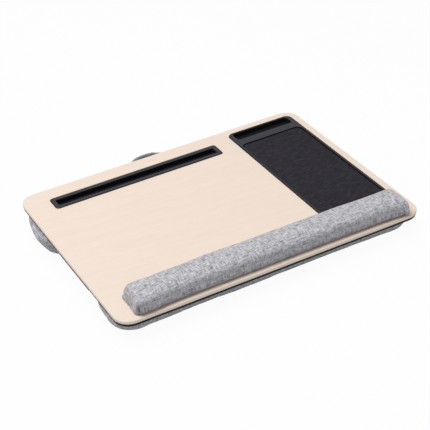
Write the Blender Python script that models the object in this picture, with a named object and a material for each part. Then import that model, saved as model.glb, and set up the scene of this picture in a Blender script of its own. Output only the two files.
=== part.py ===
"""Lap desk: a wooden top screwed to a ribbed plastic pan and carried on two fabric bolsters.

A slot insert, a tray with a mouse pad and a phone slot, a padded wrist rest and a carry handle are
set into it or on it. The board frame has its origin in the middle of the top's upper face, +X to the
right and +Y to the rear. The rear bolster is the deeper one, so the whole desk stands tilted.
"""

import math
from dataclasses import dataclass, replace

import bmesh
import bpy
from mathutils import Matrix, Vector

# Clearances and cuts
SEAT_GAP = 0.0003
FIT_GAP = 0.0005
SOFT_GAP = 0.0006
CUT_OVERRUN = 0.004
REST_CUT = 0.0005

# Wooden top
BOARD_WIDTH = 0.600
BOARD_DEPTH = 0.440
BOARD_THICKNESS = 0.0055
BOARD_CORNER = 0.029
BOARD_EDGE_ROUND = 0.0018

# Moulded pan under the top
PAN_INSET = 0.0010
PAN_HEIGHT = 0.0055
PAN_FLOOR = 0.0015
PAN_SKIRT = 0.0020
PAN_EDGE_ROUND = 0.0012
RIB_WALL = 0.0014
RIB_PITCH = 0.054
BOSS_RADIUS = 0.0048

# Flanged inserts
FLANGE_RISE = 0.0018
FLANGE_EDGE = 0.0006
TROUGH_WALL = 0.0014
TROUGH_FLOOR = 0.0012
LUG_LENGTH = 0.008
LUG_HEIGHT = 0.0024
LUG_REACH = 0.0012
LUG_ROOT = 0.0005

# Tablet slot insert
SLOT_WIDTH = 0.0374
SLOT_LEFT_MARGIN = 0.0481
SLOT_TRAY_GAP = 0.0379
SLOT_REAR_MARGIN = 0.0356
SLOT_CORNER = 0.006
SLOT_RIM = 0.0091
SLOT_MOUTH_CORNER = 0.0025
SLOT_LUG_SHARES = (-0.72, 0.0, 0.72)

# Pad tray
TRAY_WIDTH = 0.1454
TRAY_RIGHT_MARGIN = 0.0152
TRAY_REAR_MARGIN = 0.0174
TRAY_FRONT_GAP = 0.004
TRAY_CORNER = 0.013
TRAY_RIM = 0.0050
PHONE_SLOT_LENGTH = 0.126
PHONE_SLOT_WIDTH = 0.0246
PHONE_SLOT_CORNER = 0.007
BRIDGE_WIDTH = 0.0194
BED_FLOOR = 0.0012
BED_CORNER = 0.0105
PHONE_LUG_SHARES = (-0.6, 0.6)

# Mouse pad
PAD_SHEET = 0.0012
PAD_SINK = 0.0010
PAD_EDGE_ROUND = 0.0004

# Wrist rest
WRIST_DEPTH = 0.0605
WRIST_LEFT_MARGIN = 0.0325
WRIST_RIGHT_MARGIN = 0.0225
WRIST_FRONT_MARGIN = 0.009
WRIST_CORNER = 0.006
WRIST_HEIGHT = 0.0270
WRIST_CROWN = 0.0025
WRIST_SHOULDER_X = 0.008
WRIST_SHOULDER_Y = 0.011
WRIST_SWELL = 0.0012
WRIST_PLATE = 0.0020
WRIST_HEM = 0.010
WRIST_TAPE_GAP = 0.003

# Bolsters
COVER_FABRIC = 0.0009
CUSHION_LEFT_MARGIN = 0.0010
CUSHION_RIGHT_MARGIN = 0.0110
CUSHION_CORNER = 0.042
CUSHION_SHOULDER_X = 0.030
CUSHION_SWELL = 0.0025
CUSHION_BOARD = 0.0025
REAR_CUSHION_DEPTH = 0.168
REAR_CUSHION_MARGIN = 0.0075
REAR_CUSHION_HEIGHT = 0.0525
REAR_CUSHION_CROWN = 0.0040
REAR_CUSHION_SHOULDER_Y = 0.060
FRONT_CUSHION_DEPTH = 0.120
FRONT_CUSHION_MARGIN = 0.0085
FRONT_CUSHION_HEIGHT = 0.0325
FRONT_CUSHION_CROWN = 0.0030
FRONT_CUSHION_SHOULDER_Y = 0.045
PROFILE_POWER = 2.3
CROWN_POWER = 2
WRIST_PROFILE_POWER = 3
WRIST_CROWN_POWER = 6

# Carry handle
HANDLE_CENTRE_X = -0.019
HANDLE_HALF_SPAN = 0.0355
HANDLE_REACH = 0.036
HANDLE_DROOP_DEGREES = 22
HANDLE_LEAD = 0.003
LOOP_WIDTH = 0.0095
LOOP_THICKNESS = 0.0070
LOOP_POWER = 2.3
TAB_WIDTH = 0.014
TAB_THICKNESS = 0.0020
TAB_LENGTH = 0.024
TAPER_LENGTH = 0.012

# Screws
SHANK_RADIUS = 0.0015
COUNTERSINK_RADIUS = 0.0032
COUNTERSINK_DEPTH = 0.0016
BOARD_SCREW_BITE = 0.0034
CUSHION_HEAD_RADIUS = 0.0035
CUSHION_HEAD_HEIGHT = 0.0018
HANDLE_HEAD_RADIUS = 0.0042
HANDLE_HEAD_HEIGHT = 0.0012
HANDLE_SCREW_INSET = 0.015
BOARD_SCREW_SIDE_MARGIN = 0.0557
BOARD_SCREW_TRAY_GAP = 0.058
BOARD_SCREW_FRONT_GAP = 0.0093
BOARD_SCREW_SLOT_GAP = 0.0385
EDGE_SCREW_SHARES = (-0.25, 0.3)
CUSHION_SCREW_SLOT_GAP = 0.0114
CUSHION_SCREW_END_SHARE = 0.73
CUSHION_SCREW_SIDE_SHARE = 0.45

# Facets
CORNER_STEPS = 6
EDGE_STEPS = 3
FORM_CORNER_STEPS = 5
FORM_LONG_STEPS = 8
FORM_SHORT_STEPS = 3
FORM_END_POINTS = (FORM_SHORT_STEPS - 1) // 2
SHOULDER_TURN_SHARES = (0, 0.22, 0.42, 0.6, 0.78, 1)
CROWN_REACH_SHARES = (0.62, 0.25)
CORNER_LIMIT_SHARE = 0.9
HEM_CORNER_SHARE = 0.33
TAB_ROUND_SHARES = (0.9, 0.55)
TILT_HALVINGS = 26
SHARP_DEGREES = 35
SOFT_SHARP_DEGREES = 60
SCREW_SIDES = 10
LOOP_STEPS = 26
LOOP_SIDES = 10

# Levels in the board frame, downwards from the upper face
BOARD_BOTTOM = -BOARD_THICKNESS
PAN_TOP = BOARD_BOTTOM - SEAT_GAP
PAN_BOTTOM = PAN_TOP - PAN_HEIGHT
PAN_FLOOR_TOP = PAN_BOTTOM + PAN_FLOOR
TROUGH_BOTTOM = PAN_FLOOR_TOP + SEAT_GAP
TROUGH_BED = TROUGH_BOTTOM + TROUGH_FLOOR
PAD_BED = BOARD_BOTTOM + BED_FLOOR
PAD_TOP = FLANGE_RISE - PAD_SINK
PAD_SHEET_BOTTOM = PAD_TOP - PAD_SHEET
COVER_TOP = PAN_BOTTOM - SEAT_GAP

TRAY_LAP = TRAY_RIM - TROUGH_WALL

# Places in the board frame
TRAY_X = BOARD_WIDTH / 2 - TRAY_RIGHT_MARGIN - TRAY_WIDTH / 2
TRAY_LEFT_X = TRAY_X - TRAY_WIDTH / 2
SLOT_LEFT_X = -BOARD_WIDTH / 2 + SLOT_LEFT_MARGIN
SLOT_LENGTH = TRAY_LEFT_X - SLOT_TRAY_GAP - SLOT_LEFT_X
SLOT_X = SLOT_LEFT_X + SLOT_LENGTH / 2
SLOT_Y = BOARD_DEPTH / 2 - SLOT_REAR_MARGIN - SLOT_WIDTH / 2
SLOT_FRONT_Y = SLOT_Y - SLOT_WIDTH / 2
WRIST_LENGTH = BOARD_WIDTH - WRIST_LEFT_MARGIN - WRIST_RIGHT_MARGIN
WRIST_X = (WRIST_LEFT_MARGIN - WRIST_RIGHT_MARGIN) / 2
WRIST_Y = -BOARD_DEPTH / 2 + WRIST_FRONT_MARGIN + WRIST_DEPTH / 2
TRAY_FRONT_Y = WRIST_Y + WRIST_DEPTH / 2 + TRAY_FRONT_GAP
TRAY_REAR_Y = BOARD_DEPTH / 2 - TRAY_REAR_MARGIN
TRAY_LENGTH = TRAY_REAR_Y - TRAY_FRONT_Y
TRAY_Y = (TRAY_REAR_Y + TRAY_FRONT_Y) / 2
PHONE_SLOT_Y = TRAY_REAR_Y - TRAY_RIM - PHONE_SLOT_WIDTH / 2
BED_REAR_Y = TRAY_REAR_Y - TRAY_RIM - PHONE_SLOT_WIDTH - BRIDGE_WIDTH
BED_FRONT_Y = TRAY_FRONT_Y + TRAY_RIM
BED_Y = (BED_REAR_Y + BED_FRONT_Y) / 2
BED_LENGTH = BED_REAR_Y - BED_FRONT_Y
BED_WIDTH = TRAY_WIDTH - 2 * TRAY_RIM
CUSHION_LENGTH = BOARD_WIDTH - CUSHION_LEFT_MARGIN - CUSHION_RIGHT_MARGIN
CUSHION_X = (CUSHION_LEFT_MARGIN - CUSHION_RIGHT_MARGIN) / 2
REAR_CUSHION_Y = BOARD_DEPTH / 2 - REAR_CUSHION_MARGIN - REAR_CUSHION_DEPTH / 2
FRONT_CUSHION_Y = -BOARD_DEPTH / 2 + FRONT_CUSHION_MARGIN + FRONT_CUSHION_DEPTH / 2
PAN_HALF_X = BOARD_WIDTH / 2 - PAN_INSET
PAN_HALF_Y = BOARD_DEPTH / 2 - PAN_INSET
CELL_AREA_HALF_X = PAN_HALF_X - PAN_SKIRT
CELL_AREA_HALF_Y = PAN_HALF_Y - PAN_SKIRT
CELLS_X = round(2 * CELL_AREA_HALF_X / RIB_PITCH)
CELLS_Y = round(2 * CELL_AREA_HALF_Y / RIB_PITCH)
CELL_X = 2 * CELL_AREA_HALF_X / CELLS_X
CELL_Y = 2 * CELL_AREA_HALF_Y / CELLS_Y
HINGE_Y = BOARD_DEPTH / 2 + HANDLE_LEAD
HINGE_Z = PAN_FLOOR_TOP + SEAT_GAP + TAB_THICKNESS / 2
TAB_OUTER_Y = HINGE_Y - TAB_THICKNESS / 2 - SEAT_GAP
HANDLE_SCREW_Y = TAB_OUTER_Y - HANDLE_SCREW_INSET


@dataclass(frozen=True)
class PaddedForm:
    """A pad with a rounded plan: drawn in at its seam, swelling below it, then curving over to a crown."""

    half_x: float
    half_y: float
    corner: float
    seam_z: float
    height: float
    crown: float
    profile_power: float
    crown_power: int
    shoulder_x: float
    shoulder_y: float
    swell: float
    facing: int

    def inside(self, wall):
        """The same pad, smaller by a wall all round."""
        return replace(
            self,
            half_x=self.half_x - wall,
            half_y=self.half_y - wall,
            corner=self.corner - wall,
            seam_z=self.seam_z + self.facing * wall,
            height=self.height - 2 * wall,
        )

    def ring(self, turn, reach):
        """Points round the pad: turn runs from the seam, 0, to the shoulder, 1, and reach on inwards."""
        depth = math.sin(turn * math.pi / 2) ** (2 / self.profile_power)
        drawn_in = 1 - math.cos(turn * math.pi / 2) ** (2 / self.profile_power)
        swell = self.swell * math.sin(math.pi * depth)
        middle = (1 - reach) * (self.half_y - self.shoulder_y)
        half_x = self.half_x - self.shoulder_x * drawn_in - middle + swell
        half_y = (self.half_y - self.shoulder_y * drawn_in) * reach + swell
        corner = min(self.corner, half_y * CORNER_LIMIT_SHARE) * reach
        points = []
        for x, y in outline(half_x, half_y, corner, FORM_CORNER_STEPS, FORM_LONG_STEPS, FORM_SHORT_STEPS):
            along = 1 - abs(x / (self.half_x + self.swell)) ** self.crown_power
            across = 1 - abs(y / (self.half_y + self.swell)) ** CROWN_POWER
            rise = depth * (self.height + self.crown * along * across)
            points.append(Vector((x, y, self.seam_z + self.facing * rise)))
        return points

    def rings(self, first_depth=0):
        """Rings from the seam, or from a level first_depth past it, to the middle of the crown."""
        sides = [self.ring(turn, 1) for turn in SHOULDER_TURN_SHARES]
        crown = [self.ring(1, reach) for reach in CROWN_REACH_SHARES]
        next_depth = min(abs(point.z - self.seam_z) for point in sides[1])
        share = first_depth / next_depth
        first = [seam.lerp(lower, share) for seam, lower in zip(sides[0], sides[1])]
        return [first] + sides[1:] + crown


def bolster(depth, height, crown, shoulder_y):
    """The outer form of one bolster, hanging from its seam at z = 0."""
    return PaddedForm(
        half_x=CUSHION_LENGTH / 2,
        half_y=depth / 2,
        corner=CUSHION_CORNER,
        seam_z=0,
        height=height,
        crown=crown,
        profile_power=PROFILE_POWER,
        crown_power=CROWN_POWER,
        shoulder_x=CUSHION_SHOULDER_X,
        shoulder_y=shoulder_y,
        swell=CUSHION_SWELL,
        facing=-1,
    )


REAR_FORM = bolster(REAR_CUSHION_DEPTH, REAR_CUSHION_HEIGHT, REAR_CUSHION_CROWN, REAR_CUSHION_SHOULDER_Y)
FRONT_FORM = bolster(FRONT_CUSHION_DEPTH, FRONT_CUSHION_HEIGHT, FRONT_CUSHION_CROWN, FRONT_CUSHION_SHOULDER_Y)
WRIST_FORM = PaddedForm(
    half_x=WRIST_LENGTH / 2,
    half_y=WRIST_DEPTH / 2,
    corner=WRIST_CORNER,
    seam_z=0,
    height=WRIST_HEIGHT,
    crown=WRIST_CROWN,
    profile_power=WRIST_PROFILE_POWER,
    crown_power=WRIST_CROWN_POWER,
    shoulder_x=WRIST_SHOULDER_X,
    shoulder_y=WRIST_SHOULDER_Y,
    swell=WRIST_SWELL,
    facing=1,
)


def outline(half_x, half_y, radius, corner_steps, long_steps=1, short_steps=1):
    """Points round a rounded rectangle, anticlockwise: point i is point -1 - i mirrored in the X axis."""
    straight_x = half_x - radius
    straight_y = half_y - radius
    end_rise = [straight_y * (2 * step + 1) / short_steps for step in range((short_steps - 1) // 2)]
    quarter = [step / corner_steps * math.pi / 2 for step in range(corner_steps + 1)]
    upper = [(half_x, y) for y in end_rise]
    upper += [(straight_x + radius * math.cos(a), straight_y + radius * math.sin(a)) for a in quarter]
    upper += [(straight_x * (1 - 2 * step / long_steps), half_y) for step in range(1, long_steps)]
    upper += [(-straight_x - radius * math.sin(a), straight_y + radius * math.cos(a)) for a in quarter]
    upper += [(-half_x, y) for y in reversed(end_rise)]
    return upper + [(x, -y) for x, y in reversed(upper)]


def face_outwards(bm):
    """Turns every face of a closed body outwards, also where the body is a thin shell."""
    bmesh.ops.recalc_face_normals(bm, faces=bm.faces)
    if bm.calc_volume(signed=True) < 0:
        bmesh.ops.reverse_faces(bm, faces=bm.faces)


def flat_ring(half_x, half_y, radius, z):
    """A rounded rectangle at one level."""
    return [Vector((x, y, z)) for x, y in outline(half_x, half_y, radius, CORNER_STEPS)]


def cap(bm, verts, end_points):
    """Closes a ring with strips across it, the first and last of which take in the ring's straight ends."""
    half = len(verts) // 2
    stops = [0, *range(end_points + 1, half - 1 - end_points), half - 1]
    for i, j in zip(stops, stops[1:]):
        bm.faces.new(verts[i:j + 1] + verts[-1 - j:len(verts) - i])


def loft(bm, rings, end_points=0):
    """A closed body through rings of equal point counts, capped across its first and last ring."""
    loops = [[bm.verts.new(point) for point in points] for points in rings]
    for lower, upper in zip(loops, loops[1:]):
        for i in range(len(lower)):
            bm.faces.new((lower[i - 1], lower[i], upper[i], upper[i - 1]))
    for verts in (loops[0], loops[-1]):
        cap(bm, verts, end_points)
    face_outwards(bm)


def plate(bm, half_x, half_y, radius, bottom, top, round_top=0, round_bottom=0):
    """A rounded rectangular plate, its upper and lower edges rounded where asked."""
    ring = [bm.verts.new((x, y, bottom)) for x, y in outline(half_x, half_y, radius, CORNER_STEPS)]
    base = bm.faces.new(ring)
    grown = bmesh.ops.extrude_face_region(bm, geom=[base], use_keep_orig=True)["geom"]
    raised = [item for item in grown if isinstance(item, bmesh.types.BMVert)]
    bmesh.ops.translate(bm, verts=raised, vec=(0, 0, top - bottom))
    face_outwards(bm)
    lid = next(item for item in grown if isinstance(item, bmesh.types.BMFace))
    shape = {"segments": EDGE_STEPS, "profile": 0.5, "affect": "EDGES", "material": -1}
    for face, size in ((lid, round_top), (base, round_bottom)):
        if size:
            bmesh.ops.bevel(bm, geom=list(face.edges), offset=size, **shape)


def turned(bm, x, y, profile):
    """A turned solid with its axis upright at x, y, through (radius, z) points from one end to the other."""
    loops = []
    for radius, z in profile:
        made = bmesh.ops.create_circle(bm, segments=SCREW_SIDES, radius=radius)
        bmesh.ops.translate(bm, verts=made["verts"], vec=(x, y, z))
        loops.append(list({edge for vert in made["verts"] for edge in vert.link_edges}))
    for lower, upper in zip(loops, loops[1:]):
        bmesh.ops.bridge_loops(bm, edges=lower + upper)
    for ends in (loops[0], loops[-1]):
        bmesh.ops.contextual_create(bm, geom=ends)


def box(bm, low, high):
    """An upright box between two corners."""
    size = [b - a for a, b in zip(low, high)]
    centre = [(a + b) / 2 for a, b in zip(low, high)]
    bmesh.ops.create_cube(bm, size=1, matrix=Matrix.Translation(centre) @ Matrix.Diagonal((*size, 1)))


def finish(name, colour, roughness, metallic=0):
    """A plain material in the sub-part's own colour."""
    made = bpy.data.materials.new(name)
    made.use_nodes = True
    shader = made.node_tree.nodes["Principled BSDF"]
    shader.inputs["Base Color"].default_value = (*colour, 1)
    shader.inputs["Roughness"].default_value = roughness
    shader.inputs["Metallic"].default_value = metallic
    made.diffuse_color = (*colour, 1)
    return made


def add_part(name, bm, material, parent, place=(0, 0, 0), smooth_degrees=SHARP_DEGREES):
    """One named piece from a bmesh, shaded smooth but for its sharp edges."""
    face_outwards(bm)
    mesh = bpy.data.meshes.new(name)
    bm.to_mesh(mesh)
    bm.free()
    mesh.shade_smooth()
    mesh.set_sharp_from_angle(angle=math.radians(smooth_degrees))
    part = bpy.data.objects.new(name, mesh)
    part.data.materials.append(material)
    part.parent = parent
    part.location = place
    bpy.context.collection.objects.link(part)
    return part


def add_screws(prefix, profile, places, z, material, parent):
    """Screws alike, one object each on a shared mesh, their profile measured from level z."""
    bm = bmesh.new()
    turned(bm, 0, 0, profile)
    first = None
    for number, (x, y) in enumerate(places, 1):
        name = f"{prefix}_{number}"
        if first is None:
            first = add_part(name, bm, material, parent, (x, y, z))
            continue
        screw = bpy.data.objects.new(name, first.data)
        screw.parent = parent
        screw.location = (x, y, z)
        bpy.context.collection.objects.link(screw)


def add_cutter(name, bm, parent, place=(0, 0, 0)):
    """A helper body that other pieces are cut by or joined with."""
    face_outwards(bm)
    mesh = bpy.data.meshes.new(name)
    bm.to_mesh(mesh)
    bm.free()
    cutter = bpy.data.objects.new(name, mesh)
    cutter.parent = parent
    cutter.location = place
    cutter.hide_render = True
    cutter.display_type = "WIRE"
    bpy.context.collection.objects.link(cutter)
    return cutter


def boolean(part, other, operation):
    """Cuts a piece by another body, or joins the two."""
    modifier = part.modifiers.new(other.name, "BOOLEAN")
    modifier.operation = operation
    modifier.object = other
    modifier.solver = "EXACT"


def lowest(form, centre_y, tilt):
    """Height of a bolster's lowest point above the pivot line, once the board frame is tilted."""
    points = (point for ring in form.rings() for point in ring)
    return min((p.y + centre_y) * math.sin(tilt) + (p.z + COVER_TOP) * math.cos(tilt) for p in points)


def resting_tilt():
    """The angle at which both bolsters touch one floor, halved in on from an eighth of a turn each way."""
    flat, steep = -math.pi / 4, math.pi / 4
    for _ in range(TILT_HALVINGS):
        tilt = (flat + steep) / 2
        if lowest(REAR_FORM, REAR_CUSHION_Y, tilt) < lowest(FRONT_FORM, FRONT_CUSHION_Y, tilt):
            flat = tilt
        else:
            steep = tilt
    return (flat + steep) / 2


def board_screw_places():
    """Screws through the pan into the top: round the clear field, before the tray and down the right edge."""
    left = -BOARD_WIDTH / 2 + BOARD_SCREW_SIDE_MARGIN
    right = TRAY_LEFT_X - BOARD_SCREW_TRAY_GAP
    front = TRAY_FRONT_Y - BOARD_SCREW_FRONT_GAP
    rear = SLOT_FRONT_Y - BOARD_SCREW_SLOT_GAP
    places = [(left, front), ((left + right) / 2, front), (right, front), (-left, front)]
    places += [(x, y) for y in ((front + rear) / 2, rear) for x in (left, right)]
    edge_x = BOARD_WIDTH / 2 - TRAY_RIGHT_MARGIN / 2
    return places + [(edge_x, share * BOARD_DEPTH) for share in EDGE_SCREW_SHARES]


def cushion_screw_places(rows):
    """Screws down through the pan's floor into one bolster's board, a pair at each row's level."""
    reach = CUSHION_SCREW_END_SHARE * CUSHION_LENGTH / 2
    return [(CUSHION_X + side * reach, y) for y in rows for side in (-1, 1)]


def rear_screw_rows():
    """Rows of screws over the rear bolster, both in front of the tablet slot."""
    front = REAR_CUSHION_Y - CUSHION_SCREW_SIDE_SHARE * REAR_CUSHION_DEPTH / 2
    return front, SLOT_FRONT_Y - CUSHION_SCREW_SLOT_GAP


def front_screw_rows():
    """Rows of screws over the front bolster."""
    reach = CUSHION_SCREW_SIDE_SHARE * FRONT_CUSHION_DEPTH / 2
    return FRONT_CUSHION_Y - reach, FRONT_CUSHION_Y + reach


def handle_root_xs():
    """The two ends of the handle."""
    return HANDLE_CENTRE_X - HANDLE_HALF_SPAN, HANDLE_CENTRE_X + HANDLE_HALF_SPAN


def add_holes(name, places, top, bottom, parent):
    """A cutter of round holes for screw shanks."""
    bm = bmesh.new()
    radius = SHANK_RADIUS + SEAT_GAP
    for x, y in places:
        turned(bm, x, y, [(radius, top), (radius, bottom)])
    return add_cutter(name, bm, parent)


def make_top_board(parent, wood):
    """The wooden top, cut out for both inserts and drilled from below."""
    bm = bmesh.new()
    plate(
        bm, BOARD_WIDTH / 2, BOARD_DEPTH / 2, BOARD_CORNER, BOARD_BOTTOM, 0, round_top=BOARD_EDGE_ROUND
    )
    board = add_part("top_board", bm, wood, parent)
    slot = bmesh.new()
    low, high = BOARD_BOTTOM - CUT_OVERRUN, CUT_OVERRUN
    edge = SLOT_RIM - TROUGH_WALL - FIT_GAP
    plate(
        slot, SLOT_LENGTH / 2 - edge, SLOT_WIDTH / 2 - edge, SLOT_MOUTH_CORNER + TROUGH_WALL, low, high
    )
    boolean(board, add_cutter("slot_cut_out", slot, parent, (SLOT_X, SLOT_Y, 0)), "DIFFERENCE")
    tray = bmesh.new()
    edge = TRAY_LAP - FIT_GAP
    plate(tray, TRAY_WIDTH / 2 - edge, TRAY_LENGTH / 2 - edge, TRAY_CORNER - edge, low, high)
    boolean(board, add_cutter("tray_cut_out", tray, parent, (TRAY_X, TRAY_Y, 0)), "DIFFERENCE")
    depth = BOARD_SCREW_BITE + SEAT_GAP
    drill = add_holes(
        "board_pilot_holes", board_screw_places(), BOARD_BOTTOM + depth, BOARD_BOTTOM - CUT_OVERRUN, parent
    )
    boolean(board, drill, "DIFFERENCE")


def make_base_pan(parent, plastic):
    """The moulded pan: floor, skirt, a lattice of ribs with bosses, and pockets for both troughs."""
    bm = bmesh.new()
    corner = BOARD_CORNER - PAN_INSET
    plate(bm, PAN_HALF_X, PAN_HALF_Y, corner, PAN_BOTTOM, PAN_TOP, round_bottom=PAN_EDGE_ROUND)
    pan = add_part("base_pan", bm, plastic, parent)

    cells = bmesh.new()
    for column in range(CELLS_X):
        for row in range(CELLS_Y):
            x, y = column * CELL_X - CELL_AREA_HALF_X, row * CELL_Y - CELL_AREA_HALF_Y
            low = (x + RIB_WALL / 2, y + RIB_WALL / 2, PAN_FLOOR_TOP)
            high = (x + CELL_X - RIB_WALL / 2, y + CELL_Y - RIB_WALL / 2, PAN_TOP + CUT_OVERRUN)
            box(cells, low, high)
    cell_cutter = add_cutter("rib_cells", cells, parent)
    inside = bmesh.new()
    plate(
        inside, CELL_AREA_HALF_X, CELL_AREA_HALF_Y, corner - PAN_SKIRT, PAN_BOTTOM, PAN_TOP + 2 * CUT_OVERRUN
    )
    boolean(cell_cutter, add_cutter("skirt_inside", inside, parent), "INTERSECT")
    bosses = bmesh.new()
    for x, y in board_screw_places():
        ends = (PAN_BOTTOM - CUT_OVERRUN, PAN_TOP + 2 * CUT_OVERRUN)
        turned(bosses, x, y, [(BOSS_RADIUS, ends[1]), (BOSS_RADIUS, ends[0])])
    boolean(cell_cutter, add_cutter("screw_bosses", bosses, parent), "DIFFERENCE")
    boolean(pan, cell_cutter, "DIFFERENCE")

    room = LUG_REACH + FIT_GAP
    pockets = bmesh.new()
    edge = SLOT_RIM - TROUGH_WALL - room
    top = PAN_TOP + CUT_OVERRUN
    plate(
        pockets, SLOT_LENGTH / 2 - edge, SLOT_WIDTH / 2 - edge, SLOT_MOUTH_CORNER + room, PAN_FLOOR_TOP, top
    )
    boolean(pan, add_cutter("slot_pocket", pockets, parent, (SLOT_X, SLOT_Y, 0)), "DIFFERENCE")
    pockets = bmesh.new()
    wall = TROUGH_WALL + room
    half_x, half_y = PHONE_SLOT_LENGTH / 2 + wall, PHONE_SLOT_WIDTH / 2 + wall
    plate(pockets, half_x, half_y, PHONE_SLOT_CORNER + wall, PAN_FLOOR_TOP, top)
    boolean(pan, add_cutter("phone_pocket", pockets, parent, (TRAY_X, PHONE_SLOT_Y, 0)), "DIFFERENCE")

    notches = bmesh.new()
    for x in handle_root_xs():
        half = TAB_WIDTH / 2 + SEAT_GAP
        rear = BOARD_DEPTH / 2 + CUT_OVERRUN
        front = TAB_OUTER_Y - TAB_LENGTH - SEAT_GAP
        box(notches, (x - half, front, PAN_FLOOR_TOP), (x + half, rear, PAN_TOP + CUT_OVERRUN))
    boolean(pan, add_cutter("handle_notches", notches, parent), "DIFFERENCE")

    holes = bmesh.new()
    top, bottom = PAN_TOP + CUT_OVERRUN, PAN_BOTTOM - CUT_OVERRUN
    for x, y in board_screw_places():
        wide, narrow = COUNTERSINK_RADIUS + SEAT_GAP, SHANK_RADIUS + SEAT_GAP
        cone = PAN_BOTTOM + COUNTERSINK_DEPTH
        turned(holes, x, y, [(narrow, top), (narrow, cone), (wide, PAN_BOTTOM), (wide, bottom)])
    boolean(pan, add_cutter("countersinks", holes, parent), "DIFFERENCE")
    places = cushion_screw_places(rear_screw_rows()) + cushion_screw_places(front_screw_rows())
    wells = bmesh.new()
    for x, y in places:
        turned(wells, x, y, [(CUSHION_HEAD_RADIUS + FIT_GAP, z) for z in (top, PAN_FLOOR_TOP)])
    boolean(pan, add_cutter("screw_head_wells", wells, parent), "DIFFERENCE")
    places += [(x, HANDLE_SCREW_Y) for x in handle_root_xs()]
    top = PAN_FLOOR_TOP + PAN_FLOOR
    boolean(pan, add_holes("floor_holes", places, top, bottom, parent), "DIFFERENCE")


def make_board_screws(parent, steel):
    """Countersunk screws, up through the pan's bosses into the top."""
    tip = BOARD_BOTTOM + BOARD_SCREW_BITE - PAN_BOTTOM
    profile = [(SHANK_RADIUS, tip), (SHANK_RADIUS, COUNTERSINK_DEPTH), (COUNTERSINK_RADIUS, 0)]
    add_screws("board_screw", profile, board_screw_places(), PAN_BOTTOM, steel, parent)


def add_lugs(name, half_x, half_y, shares, parent, place):
    """Snap lugs down both long sides of a trough, which catch under the top."""
    bm = bmesh.new()
    for share in shares:
        for side in (-1, 1):
            made = bmesh.ops.create_cube(bm, size=1)["verts"]
            for vert in made:
                outer = vert.co.y * side > 0
                upper = vert.co.z > 0
                vert.co.x = share * half_x + vert.co.x * LUG_LENGTH
                vert.co.y = side * (half_y + (LUG_REACH if outer and upper else 0))
                if not outer:
                    vert.co.y = side * (half_y - LUG_ROOT)
                vert.co.z = BOARD_BOTTOM - SEAT_GAP - (0 if upper else LUG_HEIGHT)
    return add_cutter(name, bm, parent, place)


def make_slot_insert(parent, plastic):
    """The tablet slot: a flange round a deep trough, moulded in one."""
    half_x, half_y = SLOT_LENGTH / 2, SLOT_WIDTH / 2

    def ring(inset, radius, z):
        return flat_ring(half_x - inset, half_y - inset, radius, z)

    inner = SLOT_MOUTH_CORNER
    body = SLOT_RIM - TROUGH_WALL
    rings = [
        ring(SLOT_RIM, inner, TROUGH_BED),
        ring(SLOT_RIM, inner, FLANGE_RISE - 2 * FLANGE_EDGE),
        ring(SLOT_RIM - FLANGE_EDGE, inner + FLANGE_EDGE, FLANGE_RISE - FLANGE_EDGE),
        ring(2 * FLANGE_EDGE, SLOT_CORNER - FLANGE_EDGE, FLANGE_RISE),
        ring(FLANGE_EDGE, SLOT_CORNER, FLANGE_RISE - FLANGE_EDGE / 2),
        ring(0, SLOT_CORNER, FLANGE_RISE - 2 * FLANGE_EDGE),
        ring(0, SLOT_CORNER, SEAT_GAP),
        ring(body, inner + TROUGH_WALL, SEAT_GAP),
        ring(body, inner + TROUGH_WALL, TROUGH_BOTTOM),
    ]
    bm = bmesh.new()
    loft(bm, rings)
    place = (SLOT_X, SLOT_Y, 0)
    insert = add_part("slot_insert", bm, plastic, parent, place)
    lugs = add_lugs("slot_lugs", half_x - body, half_y - body, SLOT_LUG_SHARES, parent, place)
    boolean(insert, lugs, "UNION")


def make_pad_tray(parent, plastic):
    """The tray on the right: a bed for the mouse pad and, behind a bridge, the phone slot."""
    half_x, half_y = TRAY_WIDTH / 2, TRAY_LENGTH / 2

    def ring(inset, z):
        return flat_ring(half_x - inset, half_y - inset, TRAY_CORNER - inset, z)

    bm = bmesh.new()
    rings = [
        ring(2 * FLANGE_EDGE, FLANGE_RISE),
        ring(FLANGE_EDGE, FLANGE_RISE - FLANGE_EDGE / 2),
        ring(0, FLANGE_RISE - 2 * FLANGE_EDGE),
        ring(0, SEAT_GAP),
        ring(TRAY_LAP, SEAT_GAP),
        ring(TRAY_LAP, BOARD_BOTTOM),
    ]
    loft(bm, rings)
    tray = add_part("pad_tray", bm, plastic, parent, (TRAY_X, TRAY_Y, 0))

    slot_x, slot_y = PHONE_SLOT_LENGTH / 2, PHONE_SLOT_WIDTH / 2
    place = (TRAY_X, PHONE_SLOT_Y, 0)
    trough = bmesh.new()
    outer_x, outer_y = slot_x + TROUGH_WALL, slot_y + TROUGH_WALL
    plate(trough, outer_x, outer_y, PHONE_SLOT_CORNER + TROUGH_WALL, TROUGH_BOTTOM, PAD_BED)
    boolean(tray, add_cutter("phone_trough", trough, parent, place), "UNION")
    lugs = add_lugs("phone_lugs", outer_x, outer_y, PHONE_LUG_SHARES, parent, place)
    boolean(tray, lugs, "UNION")

    def mouth(name, wide, deep, radius, floor, where):
        bm = bmesh.new()
        lip = FLANGE_RISE - FLANGE_EDGE
        flare = FLANGE_EDGE + CUT_OVERRUN
        rings = [
            flat_ring(wide, deep, radius, floor),
            flat_ring(wide, deep, radius, lip),
            flat_ring(wide + flare, deep + flare, radius + flare, lip + flare),
        ]
        loft(bm, rings)
        boolean(tray, add_cutter(name, bm, parent, where), "DIFFERENCE")

    mouth("phone_mouth", slot_x, slot_y, PHONE_SLOT_CORNER, TROUGH_BED, place)
    mouth("pad_bed", BED_WIDTH / 2, BED_LENGTH / 2, BED_CORNER, PAD_BED, (TRAY_X, BED_Y, 0))


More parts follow.
